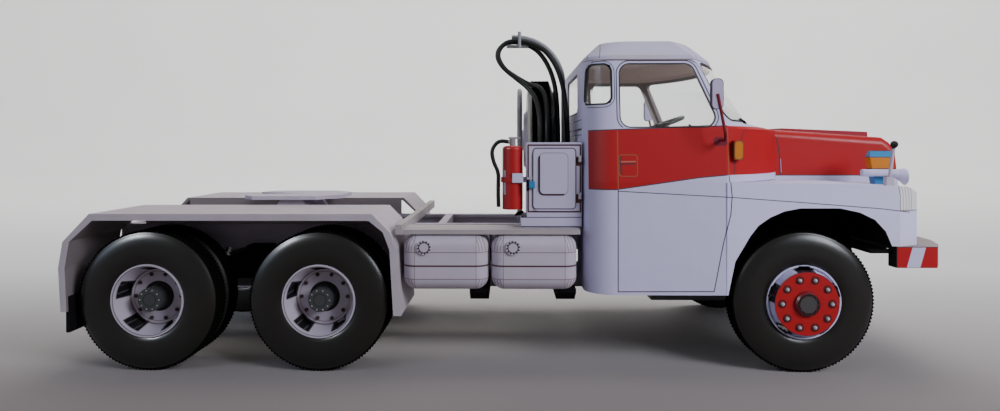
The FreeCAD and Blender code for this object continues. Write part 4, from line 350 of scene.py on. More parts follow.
cabPrint = {
    "sideLines": [
        ([(-44.0, 57.4), (-44.0, 19.5), (-21.4, 19.6), (-19.3, 30.7), (-17.6, 37.8), (-17.3, 42.1),
          (-17.8, 47.0), (-17.9, 58.3)], 0.24),
        ([(-44.0, 43.3), (-16.6, 41.8), (-1.4, 40.7), (17.7, 39.2), (24.9, 38.3)], 0.2),
    ],
    "sideLinesFrom": 30.0, "sideFrom": 31.0, "centre": (-35.0, 0.0, 55.0),
    "bandSlope": (-44.6, -24.8, 43.65, 46.5), "bandRise": (-24.8, -18.3, 0.0, 0.6),
    "bandTop": (-51.5, -18.0, 57.6, 58.75), "bandBack": -50.6,
    "bandEdges": [([(-50.5, 57.7), (-18.0, 58.8)], 0.24),
                  ([(-50.5, 43.65), (-44.6, 43.65), (-24.8, 46.5), (-18.3, 47.1)], 0.24)],
    "seams": [
        ([(-51.6, 73.7), (-49.5, 74.45), (-46.0, 74.7), (-26.3, 74.7), (-24.6, 74.0), (-21.7, 69.9)], 0.2),
        ([(-12.9, 57.8), (-14.3, 55.2), (-16.0, 51.4), (-16.2, 47.3)], 0.24),
    ],
    "doorWindow": [(-40.75, 61.0), (-23.25, 61.0), (-27.68, 71.3), (-40.75, 71.3)],
    "doorWindowRound": 2.4, "gasket": 0.28, "moulding": (0.75, 0.98), "mouldingFrom": 58.4,
    "cornerRings": [((-58.0, 64.1), (-45.2, 73.8), 1.9, 0.5), ((-58.0, 63.3), (-44.5, 74.5), 2.6, 0.16)],
    "backCorner": ((29.4, 64.1), (40.0, 73.8), 1.9, 0.5), "backCornerEnds": (-46.0, 32.5),
    "handle": ((-43.7, 46.8), (-39.4, 51.9), 0.7, 0.2),
    "handleShadow": [([(-43.45, 51.4), (-43.45, 48.2), (-43.2, 47.4)], 0.34),
                     ([(-43.2, 49.7), (-39.9, 49.8)], 0.34)],
    "handleBarHighlight": [([(-43.2, 50.25), (-39.9, 50.3)], 0.3)],
    "bracket": ((-21.3, 54.0), (-18.0, 56.1), 0.8, 0.1),
    "back": -50.9, "backWindow": ((-15.2, 63.0), (15.2, 72.8), 2.0, 1.0),
    "louvreSpans": ((4.0, 26.0), (-26.0, -4.0)), "louvreFeet": (50.6, 54.4, 58.2), "louvreHeight": 2.4,
    "louvreLine": (0.2, 0.22), "louvreLip": 0.55,
    "screen": [(-31.9, 62.4), (31.9, 62.4), (29.4, 72.0), (-29.4, 72.0)], "screenWidth": 5.0,
    "screenAhead": -31.0, "screenUp": 59.2, "screenReach": 35.3,
}


def sideInk(card):
    # the thin lines printed on the door, the cab's side and the wing's side
    return both(strokes(card.place, cabPrint["sideLines"]), above(card.wide, cabPrint["sideLinesFrom"]))


def cabCard():
    spec, card = cabPrint, Card("cabCard", "white", tone=0.12)
    place, ahead, up, wide = card.place, card.ahead, card.up, card.wide
    side = above(wide, spec["sideFrom"])
    # the red band round the cab, with a slanting lower edge on the door
    low = calc("ADD", ramp(ahead, *spec["bandSlope"]), ramp(ahead, *spec["bandRise"]))
    red = both(above(up, low), below(up, ramp(ahead, *spec["bandTop"])), above(ahead, spec["bandBack"]))
    card.lay(red, "red")
    card.lay(both(strokes(place, spec["bandEdges"]), side), "ink")
    card.lay(sideInk(card), paint(colours["ink"], red, colours["gold"]))
    card.lay(both(strokes(place, spec["seams"]), side), "brownInk")
    # window surrounds
    reaches = [spec["doorWindowRound"] + stand for stand in (spec["gasket"], *spec["moulding"])]
    gasket, inner, outer = [linesMask(place, spec["doorWindow"], 2 * reach, closed=True) for reach in reaches]
    moulding = both(calc("SUBTRACT", outer, inner), above(up, spec["mouldingFrom"]))
    corners = [panelMask(place, *ring)[0] for ring in spec["cornerRings"]]
    corner = panelMask(vectorCalc("ABSOLUTE", place), *spec["backCorner"], flatBack)[0]
    cornerEnd, cornerReach = spec["backCornerEnds"]
    backCorner = both(corner, below(ahead, cornerEnd), below(wide, cornerReach))
    card.lay(either(both(either(gasket, moulding, *corners), side), backCorner), "black")
    # door handle with its painted highlight and painted shadows, and the mirror's bracket
    for mask, colour in ((panelMask(place, *spec["handle"])[0], "gold"),
                         (strokes(place, spec["handleShadow"]), "brownInk"),
                         (strokes(place, spec["handleBarHighlight"]), "handleBarHighlight"),
                         (panelMask(place, *spec["bracket"])[1], "bracketRed")):
        card.lay(both(mask, side), colour)
    # rear window and louvres
    backInk = [panelMask(place, *spec["backWindow"], flatBack)[0]]
    for left, right in spec["louvreSpans"]:
        for foot in spec["louvreFeet"]:
            top = foot + spec["louvreHeight"]
            backInk += [panelMask(place, (left, foot), (right, top), *spec["louvreLine"], flatBack)[0],
                        linesMask(place, [(left, foot), (right, foot)], spec["louvreLip"], flatBack)]
    card.lay(both(either(*backInk), below(ahead, spec["back"])), "ink")
    screen = linesMask(place, spec["screen"], spec["screenWidth"], flatBack, closed=True)
    card.lay(both(screen, above(ahead, spec["screenAhead"]), above(up, spec["screenUp"]),
                  below(wide, spec["screenReach"])), "black")
    # the cab's inside faces take a dark lining colour as painted shade
    card.lay(insideMask(place, spec["centre"]), "shadedLining")
    return card.finish()


roofPrint = {
    "seams": [([(-46.6, 80.0), (-47.9, 75.4)], 0.2), ([(-49.4, 79.0), (-50.6, 75.2)], 0.16),
              ([(-25.4, 80.0), (-24.1, 75.4)], 0.2)],
    "foot": 75.0, "wornFoot": (75.2, 0.3), "wornTop": (76.2, 0.4), "wornRear": (-45.0, 1.5),
    "wornFront": (-31.0, 2.5), "wornStrength": 0.5,
}


def roofCard():
    # the roof takes a darker copy of the white card as painted shade
    spec, card = roofPrint, Card("roofCard", "shadedWhite", tone=0.12)
    card.lay(strokes(card.place, spec["seams"]), "fineInk")
    worn = both(above(card.up, *spec["wornFoot"]), below(card.up, *spec["wornTop"]),
                above(card.ahead, *spec["wornRear"]), below(card.ahead, *spec["wornFront"]))
    card.lay(calc("MULTIPLY", worn, spec["wornStrength"]), "cream")
    card.lay(below(card.up, spec["foot"]), "fineInk")
    # the roof's inside faces take a lighter colour than the cab's inside, as painted light
    card.lay(insideMask(card.place, cabPrint["centre"]), "litCeiling")
    return card.finish()


bonnetPrint = {
    "redFrom": 46.3, "stripHalf": 9.05, "stripEnds": (4.9, 28.6),
    "seams": [([(-18.4, 46.25), (34.4, 46.25)], 0.26),
              ([(-5.9, 59.6), (-1.0, 58.4), (0.8, 55.6), (1.45, 51.3), (1.7, 46.4)], 0.34)],
    "paintedHighlight": [([(1.75, 50.5), (1.95, 47.0)], 0.1)], "paintedHighlightFrom": 16.0,
}


def bonnetCard():
    # red over the white lower strip, a crimson raised strip, two printed seams and a thin white painted
    # highlight on the bonnet's sides
    spec, card = bonnetPrint, Card("bonnetCard", "white", roughness=0.42, sheen=0.2)
    card.lay(above(card.up, spec["redFrom"]), "red")
    card.lay(both(below(card.wide, spec["stripHalf"]), between(card.ahead, *spec["stripEnds"])), "crimson")
    card.lay(strokes(card.place, spec["seams"]), "brownInk")
    # a thin white line by the front seam on the bonnet's sides is a painted highlight
    card.lay(both(strokes(card.place, spec["paintedHighlight"]), above(card.wide, spec["paintedHighlightFrom"])), "white")
    return card.finish()


wingPrint = {
    "topLines": [([(-18.4, -35.0), (14.0, -34.4)], 0.2), ([(-18.4, 35.0), (14.0, 34.4)], 0.2)], "topFrom": 43.5,
    "pleats": (24.5, 27.0, 29.5, 31.6, 33.3), "pleatEnds": (46.0, 39.0), "pleatSlant": 0.3,
    "pleatsFrom": 26.2, "pleatWidth": 0.16, "folds": (22.9, 23.8, 24.7, 25.5),
    "fold": [(-0.7, 44.8), (-0.1, 42.4), (0.0, 38.9)], "foldWidth": 0.13,
    "noseFoot": 38.9, "noseFrom": 22.0, "noseLean": 0.1,
    "noseLines": [([(21.4, 44.8), (21.9, 42.4), (22.0, 38.8)], 0.2), ([(21.8, 38.75), (31.2, 38.6)], 0.24)],
    "linesFrom": (21.2, 38.6), "edgeFoot": (31.6, 1.2), "edgeFrom": 20.0, "edgeStrength": 0.2,
    "centre": (0.0, 0.0, 20.0),
}


def wingCard():
    # the wing takes a lighter copy of the white card as painted light
    spec, card = wingPrint, Card("wingCard", "litWingWhite", tone=0.12)
    place, ahead, up = card.place, card.ahead, card.up
    card.lay(sideInk(card), "ink")
    card.lay(both(strokes(place, spec["topLines"], flatTop), above(up, spec["topFrom"])), "topLine")
    top, foot = spec["pleatEnds"]
    pleats = strokes(place, [([(turn * reach, top), (turn * (reach + spec["pleatSlant"]), foot)],
                              spec["pleatWidth"]) for reach in spec["pleats"] for turn in (-1, 1)], flatBack)
    folds = strokes(place, [([(start + out, height) for out, height in spec["fold"]], spec["foldWidth"])
                            for start in spec["folds"]])
    lean = calc("MULTIPLY", calc("SUBTRACT", up, spec["noseFoot"]), spec["noseLean"])
    # the nose's cream is print, made lighter than the print as painted light for the face turned from the lamps
    card.lay(both(above(calc("ADD", ahead, lean), spec["noseFrom"]), above(up, spec["noseFoot"])), "noseCream")
    lines = either(strokes(place, spec["noseLines"]), both(pleats, above(ahead, spec["pleatsFrom"])), folds)
    linesAhead, linesUp = spec["linesFrom"]
    card.lay(both(lines, above(ahead, linesAhead), above(up, linesUp)), "fineInk")
    edge = both(below(up, *spec["edgeFoot"]), above(ahead, spec["edgeFrom"]))
    card.lay(calc("MULTIPLY", edge, spec["edgeStrength"]), "cream")
    # faces turned inwards are painted black as painted shade
    card.lay(insideMask(place, spec["centre"]), "black")
    return card.finish()


bumperPrint = {
    "foot": 25.4, "top": 30.25, "lean": 0.27, "stripes": (23.2, 26.3), "endsFrom": 34.6, "creamFrom": 20.0,
    "edges": [([(20.8, 30.3), (38.0, 30.3)], 0.2), ([(20.8, 25.4), (38.0, 25.4)], 0.2)],
    "rear": 21.0, "armTop": 29.4, "armReach": 20.0, "armFront": 35.3,
}


def bumperCard():
    # slanting red stripes on the ends; the rear edge and the arms behind are painted black as painted shade
    spec, card = bumperPrint, Card("bumperCard", "white", tone=0.12)
    ahead, up, wide = card.ahead, card.up, card.wide
    card.lay(both(above(up, spec["top"]), above(ahead, spec["creamFrom"])), "cream")
    slant = calc("SUBTRACT", ahead, calc("MULTIPLY", calc("SUBTRACT", up, spec["foot"]), spec["lean"]))
    low, high = spec["stripes"]
    stripes = either(below(slant, low), above(slant, high))
    card.lay(both(stripes, above(wide, spec["endsFrom"]), below(up, spec["top"])), "red")
    card.lay(strokes(card.place, spec["edges"]), "brownInk")
    arms = both(below(up, spec["armTop"]), below(wide, spec["armReach"]), below(ahead, spec["armFront"]))
    card.lay(either(below(ahead, spec["rear"]), arms), "black")
    return card.finish()


tankPrint = {
    "ends": [(-74.05, -53.6), (-95.2, -74.75)], "strap": (25.25, 25.65), "fine": (22.3, 28.7), "fineHalf": 0.09,
    "dart": (2.9, 19.0, 33.5, 0.12), "pleats": (0.7, 1.4, 2.1), "pleatWidth": 0.14,
    "pleatTop": [(0.0, 29.0), (0.25, 30.6), (0.95, 32.2)], "pleatFoot": [(0.0, 22.1), (0.35, 20.6)],
    "caps": [(-68.85, 29.9), (-90.0, 29.9)], "capRadii": (1.08, 1.5), "capTeeth": 12.0,
    "toothEdge": (-0.4, 0.4, -0.16, 0.16), "capsFrom": 37.0,
}


def capInk(place, spot):
    # the black toothed ring round a filler cap
    offset = vectorCalc("SUBTRACT", flattened(place, flatSide), inPlane(spot, flatSide))
    ahead, up = split(offset)[::2]
    radius = vectorCalc("LENGTH", offset)
    inner, outer = tankPrint["capRadii"]
    turn = calc("MULTIPLY", calc("ARCTAN2", up, ahead), tankPrint["capTeeth"])
    teeth = ramp(calc("SINE", turn), *tankPrint["toothEdge"])
    return both(above(radius, inner), below(radius, calc("ADD", outer, teeth)))


def tankCard():
    spec, card = tankPrint, Card("tankCard", "warmWhite", roughness=0.5)
    place, up = card.place, card.up
    fine = [between(up, height - spec["fineHalf"], height + spec["fineHalf"]) for height in spec["fine"]]
    reach, foot, top, width = spec["dart"]
    darts = []
    for low, high in spec["ends"]:
        for end, turn in ((low, 1), (high, -1)):
            darts.append(([(end + turn * reach, foot), (end + turn * reach, top)], width))
            for step in spec["pleats"]:
                for key in ("pleatTop", "pleatFoot"):
                    points = [(end + turn * (step + out), height) for out, height in spec[key]]
                    darts.append((points, spec["pleatWidth"]))
    card.lay(either(*fine, strokes(place, darts)), "fineInk")
    card.lay(between(up, *spec["strap"]), "brownInk")
    caps = either(*[capInk(place, spot) for spot in spec["caps"]])
    card.lay(both(caps, above(card.wide, spec["capsFrom"])), "ink")
    return card.finish()


boxPrint = {
    "outer": ((-65.1, 37.9), (-52.3, 54.2), 0.05, 0.42), "inner": ((-63.95, 38.6), (-53.45, 53.45), 0.9, 0.26),
    "panel": ((-62.4, 42.1), (-55.4, 52.3), 1.2, 0.14),
    "shade": [([(-53.45, 39.6), (-53.45, 52.45)], 0.3),
              ([(-62.4, 51.3), (-62.4, 43.0), (-62.1, 42.4), (-61.5, 42.1), (-56.4, 42.1)], 0.44)],
    "hinges": [((-53.6, 49.1), (-51.9, 51.3), 0.5, 0.1), ((-53.6, 40.0), (-51.9, 42.2), 0.5, 0.1)],
    "base": [([(-66.8, 36.5), (-52.0, 36.5)], 0.2), ([(-66.8, 34.2), (-52.0, 34.2)], 0.3)],
    "side": -31.0, "bandAhead": -66.4, "bandUp": 44.0,
}


def boxCard():
    # the tool box door: a square outer line, a round inner one, a painted shade line along the hinge side, the
    # panel's lower left edge as a painted shade line and painted shadows under the hinges
    # the door takes the same darker copy of the white card as painted shade
    spec, card = boxPrint, Card("boxCard", "shadedWhite", tone=0.12)
    place, side = card.place, below(card.across, spec["side"])
    card.lay(both(panelMask(place, *spec["panel"])[0], side), "fineInk")
    rings = [panelMask(place, *spec[key])[0] for key in ("outer", "inner")]
    # the hinges' dark fills are painted shadows below the hinge barrels
    hinges = [panelMask(place, *hinge)[1] for hinge in spec["hinges"]]
    card.lay(both(either(*rings, *hinges, strokes(place, spec["shade"])), side), "brownInk")
    card.lay(strokes(place, spec["base"]), "ink")
    card.lay(both(below(card.ahead, spec["bandAhead"]), above(card.up, spec["bandUp"])), "red")
    return card.finish()


def twoToneCard(name, colour, second, ahead=None, up=None, centre=None, **kinds):
    # a second colour ahead of one line and above another, or on the faces towards a point inside
    card = Card(name, colour, **kinds)
    limits = [above(place, limit) for place, limit in ((card.ahead, ahead), (card.up, up)) if limit is not None]
    if centre:
        limits.append(insideMask(card.place, centre))
    card.lay(both(*limits), second)
    return card.finish()


bottlePrint = {"label": ((-71.15, 42.0), (-70.6, 48.0), 0.08, 0.1), "side": -28.3}


def bottleCard():
    # a red bottle with a bare label on its outer side
    spec, card = bottlePrint, Card("bottleCard", "red", roughness=0.4, tone=0.12, sheen=0.3)
    card.lay(both(panelMask(card.place, *spec["label"])[1], below(card.across, spec["side"])), "warmWhite")
    return card.finish()


lampPrint = {
    "wingFrom": 10.0, "blueFrom": 51.15, "blueBelow": 48.3, "headlampAhead": 27.0, "headlampTop": 40.0,
    "lines": [([(18.0, 51.15), (27.0, 51.15)], 0.16), ([(18.0, 48.3), (27.0, 48.3)], 0.2),
              ([(19.2, 52.8), (26.0, 52.8)], 0.3)],
    "turn": ((-16.65, 50.7), (-14.55, 55.2), 1.0, 0.3), "turnTo": 0.0,
}


def lampCard():
    # amber below a blue top on the wings, silver headlamps, plain amber on the cowl
    spec, card = lampPrint, Card("lampCard", "amber", roughness=0.35, tone=0.12, sheen=0.3)
    ahead, up = card.ahead, card.up
    onWing = above(ahead, spec["wingFrom"])
    card.lay(both(onWing, either(above(up, spec["blueFrom"]), below(up, spec["blueBelow"]))), "blue")
    card.lay(both(onWing, strokes(card.place, spec["lines"])), "brownInk")
    card.lay(both(above(ahead, spec["headlampAhead"]), below(up, spec["headlampTop"])), "headlamp")
    ring, fill = panelMask(card.place, *spec["turn"])
    card.lay(calc("SUBTRACT", 1.0, either(fill, onWing)), "red")
    card.lay(both(ring, below(ahead, spec["turnTo"])), "turnEdge")
    return card.finish()


mirrorPrint = {"outline": ((-23.15, 62.45), (-20.45, 69.55), 1.1, 0.3), "fillTo": (41.01, 0.02),
               "ringTo": (41.02, 0.02)}


def mirrorCard():
    # light housing with a thin dark outline; the arm on its outer face is crimson
    spec, card = mirrorPrint, Card("mirrorCard", "deepRed", roughness=0.5, tone=0.12)
    ring, fill = panelMask(card.place, *spec["outline"])
    card.lay(both(fill, below(card.wide, *spec["fillTo"])), "white")
    card.lay(both(ring, below(card.wide, *spec["ringTo"])), "ink")
    return card.finish()


# The wheels' lines: ahead of the front axle, outer face across, and how far in each tyre starts
axles = {"front": (0.0, 36.9, [0.0]), "middle": (-115.3, 37.5, [0.0, 8.0]), "rear": (-156.6, 37.5, [0.0, 8.0])}
rimPrint = {
    "frontRings": [(7.38, 7.56, "deepRed"), (2.55, 3.05, "deepRed"), (0.0, 1.95, "hub"), (1.95, 2.55, "black"),
                   (8.28, 8.42, "grey")],
    "disc": 7.45, "discFrom": 35.0, "nuts": 10, "nutCircle": 5.8, "nutRing": (0.74, 1.0),
    "frontSlots": (7.5, 8.22), "frontSlotsFrom": 33.0,
    "rearRings": [(3.0, 3.75, "black"), (1.45, 1.6, "black"), (6.1, 6.25, "fineInk"), (6.75, 6.9, "fineInk"),
                  (8.3, 8.42, "grey")],
    "rearHub": 3.05, "rearSlots": (6.74, 8.0), "slots": 5.0, "slotShare": 0.46, "slotSoft": 0.08,
}


def radialPlace(place, ahead):
    # the offset from a wheel's axis, and its length
    radial = flattened(vectorCalc("SUBTRACT", place, (ahead, 0, hubHeight)), flatSide)
    return radial, vectorCalc("LENGTH", radial)


def slotMask(radial, radius, reach):
    # openings round a ring, the first at the top
    ahead, up = split(radial)[::2]
    turn = calc("MULTIPLY", calc("SUBTRACT", calc("ARCTAN2", up, ahead), math.pi / 2), rimPrint["slots"])
    opening = above(calc("COSINE", turn), math.cos(math.pi * rimPrint["slotShare"]), rimPrint["slotSoft"])
    return both(opening, between(radius, *reach))


def frontRimCard():
    # white barrel and lip with black painted in its openings as painted shade, red disc, dark hub, and a dark
    # ring round each nut
    spec, card = rimPrint, Card("frontRimCard", "white", roughness=0.45, tone=0.12, sheen=0.2)
    radial, radius = radialPlace(card.place, axles["front"][0])
    outside = above(card.wide, spec["discFrom"])
    card.lay(below(radius, spec["disc"]), "red")
    for inner, outer, colour in spec["frontRings"]:
        card.lay(both(between(radius, inner, outer), outside), colour)
    ahead, up = split(radial)[::2]
    turn, sector = calc("ARCTAN2", up, ahead), 2 * math.pi / spec["nuts"]
    fold = calc("SUBTRACT", turn, calc("MULTIPLY", calc("ROUND", calc("DIVIDE", turn, sector)), sector))
    along = calc("SUBTRACT", calc("MULTIPLY", radius, calc("COSINE", fold)), spec["nutCircle"])
    sideways = calc("MULTIPLY", radius, calc("SINE", fold))
    reach = calc("SQRT", calc("ADD", calc("MULTIPLY", along, along), calc("MULTIPLY", sideways, sideways)))
    card.lay(both(between(reach, *spec["nutRing"]), outside), "black")
    slots = slotMask(radial, radius, spec["frontSlots"])
    card.lay(both(slots, above(card.wide, spec["frontSlotsFrom"])), "black")
    return card.finish()


def rearRimCard(name, axle):
    # light dish with printed rings, black painted in and round its openings as painted shade, and a dark grey
    # hub
    spec, card = rimPrint, Card(name, "warmWhite", roughness=0.5, tone=0.14)
    radial, radius = radialPlace(card.place, axles[axle][0])
    card.lay(below(radius, spec["rearHub"]), "rearHub")
    for inner, outer, colour in spec["rearRings"]:
        card.lay(between(radius, inner, outer), colour)
    card.lay(slotMask(radial, radius, spec["rearSlots"]), "black")
    return card.finish()


filmSpec = {
    "colour": (0.95, 0.97, 0.97), "ior": 1.3, "smear": 90, "roughness": (0.3, 0.7, 0.01, 0.06),
    "cornerSide": ((-58.0, 64.3), (-45.4, 73.6), 1.7, 0.1),
    "cornerBack": ((29.5, 64.3), (40.0, 73.6), 1.7, 0.1), "cornerEnds": (-45.0, 28.0),
}


def filmMaterial():
    # clear film, black outside the round corners of the cab's two corner windows
    spec = filmSpec
    material, tree = newMaterial("clearFilm")
    place = modelPlace(tree)
    ahead, across = split(place)[:2]
    cornerAhead, cornerAcross = spec["cornerEnds"]
    elsewhere = either(above(ahead, cornerAhead), below(calc("ABSOLUTE", across), cornerAcross))
    corner = both(panelMask(place, *spec["cornerSide"])[1],
                  panelMask(vectorCalc("ABSOLUTE", place), *spec["cornerBack"], flatBack)[1])
    clear = either(corner, elsewhere)
    passing = tree.nodes.new("ShaderNodeLightPath").outputs["Is Shadow Ray"]
    feed(tree.nodes["Principled BSDF"], {
        "Base Color": paint(colours["black"], clear, spec["colour"]),
        "IOR": spec["ior"], "Transmission Weight": clear,
        "Roughness": ramp(noise(objectPlace(tree), Scale=spec["smear"]), *spec["roughness"]),
        "Alpha": calc("SUBTRACT", 1.0, both(passing, clear))})
    return material


finishes = {
    "cab": cabCard(), "roof": roofCard(), "bonnet": bonnetCard(), "wing": wingCard(), "bumper": bumperCard(),
    "tank": tankCard(), "box": boxCard(), "bottle": bottleCard(), "lamp": lampCard(), "mirror": mirrorCard(),
    "frontRim": frontRimCard(), "middleRim": rearRimCard("middleRimCard", "middle"),
    "rearRim": rearRimCard("rearRimCard", "rear"), "film": filmMaterial(),
    # the mudguards' inside faces take a darker colour as painted shade
    "guard": twoToneCard("guardCard", "guard", "guardInsideShade", centre=(-136.0, 0.0, 12.0), tone=0.25),
    "rod": twoToneCard("rodCard", "warmWhite", "black", up=53.3, roughness=0.5),
    # the frame rails turn black ahead of the cab as painted shade under the bonnet
    "frame": twoToneCard("frameCard", "warmWhite", "black", ahead=-16.0, tone=0.25),
    "valve": twoToneCard("valveCard", "tube", "valve", ahead=-70.0, up=53.9, roughness=0.5),
    "white": plainCard("whiteCard", "white"),
    "warm": plainCard("warmCard", "warmWhite", tone=0.25),
    "black": plainCard("blackCard", "black", roughness=0.9, shine=0.06),
    "grey": plainCard("greyCard", "grey", tone=0.3),
    "wire": plainCard("greyWire", "wire", roughness=0.35),
    "rubber": plainCard("tyreCard", "rubber", roughness=0.3, tone=0.6, bump=0.05, sheen=0.5),
    # the tread is black rubber made darker than the sidewall and without shine, as painted shade of the arches
    "tread": plainCard("treadShadeCard", "tread", roughness=0.85, tone=0.4, shine=0.0),
    "tube": plainCard("blackTube", "tube", roughness=0.5),
    "hinge": plainCard("hingeCard", "hinge"),
    "seat": plainCard("seatCard", "seat", roughness=0.7, tone=0.3),
    # the dashboard shares the inside lining's dark colour, painted shade
    "shadedLining": plainCard("shadedLiningCard", "shadedLining", roughness=0.8),
    "rail": plainCard("railCard", "rail", tone=0.3),
    "steel": plainCard("darkSteel", "steel", roughness=0.35),
    "bolt": plainCard("boltCard", "bolt", roughness=0.4),
    "nutRed": plainCard("nutRed", "nutRed", roughness=0.35),
    "silver": plainCard("silverCard", "silver", roughness=0.3),
    "blue": plainCard("blueCard", "blue"),
}

finishNodes = {
    "cab": ["cowl", "cab_back", "cab_side_right", "cab_side_left"], "roof": ["cab_roof"], "bonnet": ["bonnet"],
    "wing": ["wing_right", "wing_left"], "bumper": ["bumper"], "film": ["windscreen", "cab_glass"],
    "white": ["grille", "lamp_horns"], "lamp": ["lamps"], "rod": ["marker_rods"], "mirror": ["mirrors"],
    "box": ["toolbox"], "bottle": ["extinguisher"], "valve": ["extinguisher_valve"], "rail": ["tank_rails"],
    "tank": ["tanks_right", "tanks_left"], "guard": ["rear_mudguard_right", "rear_mudguard_left"],
    "black": ["arch_liners", "tank_brackets", "mud_flaps", "rear_springs"], "frame": ["frame_rails"],
    "warm": ["spare_rim", "fifth_wheel_base", "fifth_wheel_plate", "frame_cross_members"],
    "grey": ["cab_floor", "backbone_tube", "front_axle", "middle_axle", "rear_axle", "front_knuckles"],
    "wire": ["spare_carrier", "hose_post"], "shadedLining": ["dashboard"], "steel": ["steering_wheel"],
    "seat": ["cab_seats"],
}
for axle in axles:
    finishNodes[axle + "Rim"] = [f"wheel_{axle}_{side}_rim" for side in ("right", "left")]


def setFinish(piece, name):
    # clearing also resets the faces' slots, so a new mesh is left as it is
    if piece.data.materials:
        piece.data.materials.clear()
    piece.data.materials.append(finishes[name])


for finishName, nodeNames in finishNodes.items():
    for nodeName in nodeNames:
        setFinish(cadNodes[nodeName], finishName)
print("finishes set")


# Making pieces

def newPiece(name, mesh, finish, body, *replaced):
    piece = addObject(name, mesh)
    setFinish(piece, finish)
    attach(piece, body)
    if replaced:
        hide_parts(*replaced)
    return piece


def joinRims(form, one, two):
    # a closed band of faces between two rims with as many points
    turned = one[1:] + one[:1], two[1:] + two[:1]
    return [form.faces.new(corners) for corners in zip(one, turned[0], turned[1], two)]


def meshFrom(name, form, smooth=False):
    for face in form.faces:
        face.smooth = smooth
    mesh = bpy.data.meshes.new(name)
    form.to_mesh(mesh)
    form.free()
    return mesh


tyreSpec = {
    "turns": 240, "width": 7.2, "radius": hubHeight, "treadWidth": 5.2, "rings": 5, "tooth": 0.36,
    "groove": 0.5, "flank": (0.02, 0.1), "treadFrom": 16.3, "sharp": 38,
    "side": [(1.15, 8.55), (0.75, 8.7), (0.42, 9.1), (0.18, 9.9), (0.03, 11.0), (0.0, 12.2), (0.04, 13.4),
             (0.22, 14.6), (0.5, 15.5), (0.82, 16.1), (1.0, 16.35)],
    "spare": (-61.0, 0, 55.7), "spareStart": -3.6,
}


def tyreProfile():
    # across from the outer face, radius, and the number of the toothed ring that the point is on
    spec = tyreSpec
    half = [(across, radius, 0) for across, radius in spec["side"]]
    start, pitch = (spec["width"] - spec["treadWidth"]) / 2, spec["treadWidth"] / spec["rings"]
    base, (foot, edge) = spec["radius"] - spec["groove"], spec["flank"]
    tread = []
    for ring in range(spec["rings"]):
        low = start + ring * pitch
        tread += [(low + foot, base, 0), (low + edge, spec["radius"], ring + 1),
                  (low + pitch - edge, spec["radius"], ring + 1), (low + pitch - foot, base, 0)]
    return half + tread + [(spec["width"] - across, radius, tooth) for across, radius, tooth in half[::-1]]


def tyreMesh(name, centre, starts, outward, upright=True):
    # outward is -1 on the right side and 1 on the left; a tyre that stands across the model is not upright
    form = bmesh.new()
    turns = tyreSpec["turns"]
    for start in starts:
        rings = []
        for across, radius, tooth in tyreProfile():
            ring = []
            for step in range(turns):
                angle = 2 * math.pi * step / turns
                drop = tyreSpec["tooth"] if tooth and (step + tooth) % 2 else 0
                spin = ((radius - drop) * math.cos(angle), (radius - drop) * math.sin(angle))
                along = start - outward * across
                spot = (spin[0], along, spin[1]) if upright else (along, spin[0], spin[1])
                ring.append(form.verts.new(at(*(a + b for a, b in zip(centre, spot)))))
            rings.append((ring, radius > tyreSpec["treadFrom"]))
        # faces on the tread take the second slot, darkened as painted shade
        for (one, first), (two, second) in zip(rings, rings[1:] + rings[:1]):
            for face in joinRims(form, one, two):
                face.material_index = int(first and second)
    bmesh.ops.recalc_face_normals(form, faces=form.faces)
    mesh = meshFrom(name, form, smooth=True)
    mesh.set_sharp_from_angle(angle=math.radians(tyreSpec["sharp"]))
    return mesh


def addTyre(name, mesh, body, node):
    # the rubber's slot comes first, then the tread's
    newPiece(name, mesh, "rubber", body, node).data.materials.append(finishes["tread"])


def makeTyres():
    for axle, (ahead, face, inward) in axles.items():
        for side, outward in (("right", -1), ("left", 1)):
            starts = [outward * (face - reach) for reach in inward]
            mesh = tyreMesh(f"tyre_{axle}_{side}", (ahead, 0, hubHeight), starts, outward)
            node = f"wheel_{axle}_{side}_" + ("tyre" if axle == "front" else "tyres")
            addTyre(f"{axle}_{side}_tread", mesh, f"wheel_{axle}_{side}", node)
    mesh = tyreMesh("tyre_spare", tyreSpec["spare"], [tyreSpec["spareStart"]], -1, upright=False)
    addTyre("spare_tread", mesh, "chassis", "spare_tyre")
    print("tyres made")


makeTyres()


# Wheel nuts and hub bolts, as rings of small pieces

domeFacets, domeLift = (12, 8), 0.45             # the lift is a share of the nut's depth


def makeNutTree():
    tree, given, result = newGroup("ringOfNuts", {
        "Count": "Int", "Ring Radius": "Float", "Nut Radius": "Float", "Nut Depth": "Float", "Sides": "Int",
        "Dome Radius": "Float", "Dome Lift": "Float", "Place": "Vector", "Material": "Material",
    }, {"Geometry": "Geometry"}, "GeometryNodeTree")

    def geometry(kind, values):
        return addNode(tree, "GeometryNode" + kind, values).outputs[0]

    circle = geometry("MeshCircle", {"Vertices": given["Count"], "Radius": given["Ring Radius"]})
    nut = geometry("MeshCylinder", {
        "Vertices": given["Sides"], "Radius": given["Nut Radius"], "Depth": given["Nut Depth"]})
    segments, rings = domeFacets
    dome = geometry("MeshUVSphere", {"Segments": segments, "Rings": rings, "Radius": given["Dome Radius"]})
    lift = addNode(tree, "ShaderNodeCombineXYZ", {"Z": given["Dome Lift"]}).outputs[0]
    raised = geometry("Transform", {0: dome, "Translation": lift})
    joined = tree.nodes.new("GeometryNodeJoinGeometry")
    for part in (nut, raised):
        feed(joined, {0: part})
    spread = geometry("InstanceOnPoints", {"Points": circle, "Instance": joined.outputs[0]})
    turned = geometry("Transform", {0: spread, "Translation": given["Place"], "Rotation": (math.pi / 2, 0, 0)})
    real = geometry("RealizeInstances", {0: turned})
    feed(result, {0: geometry("SetMaterial", {0: real, "Material": given["Material"]})})
    return tree


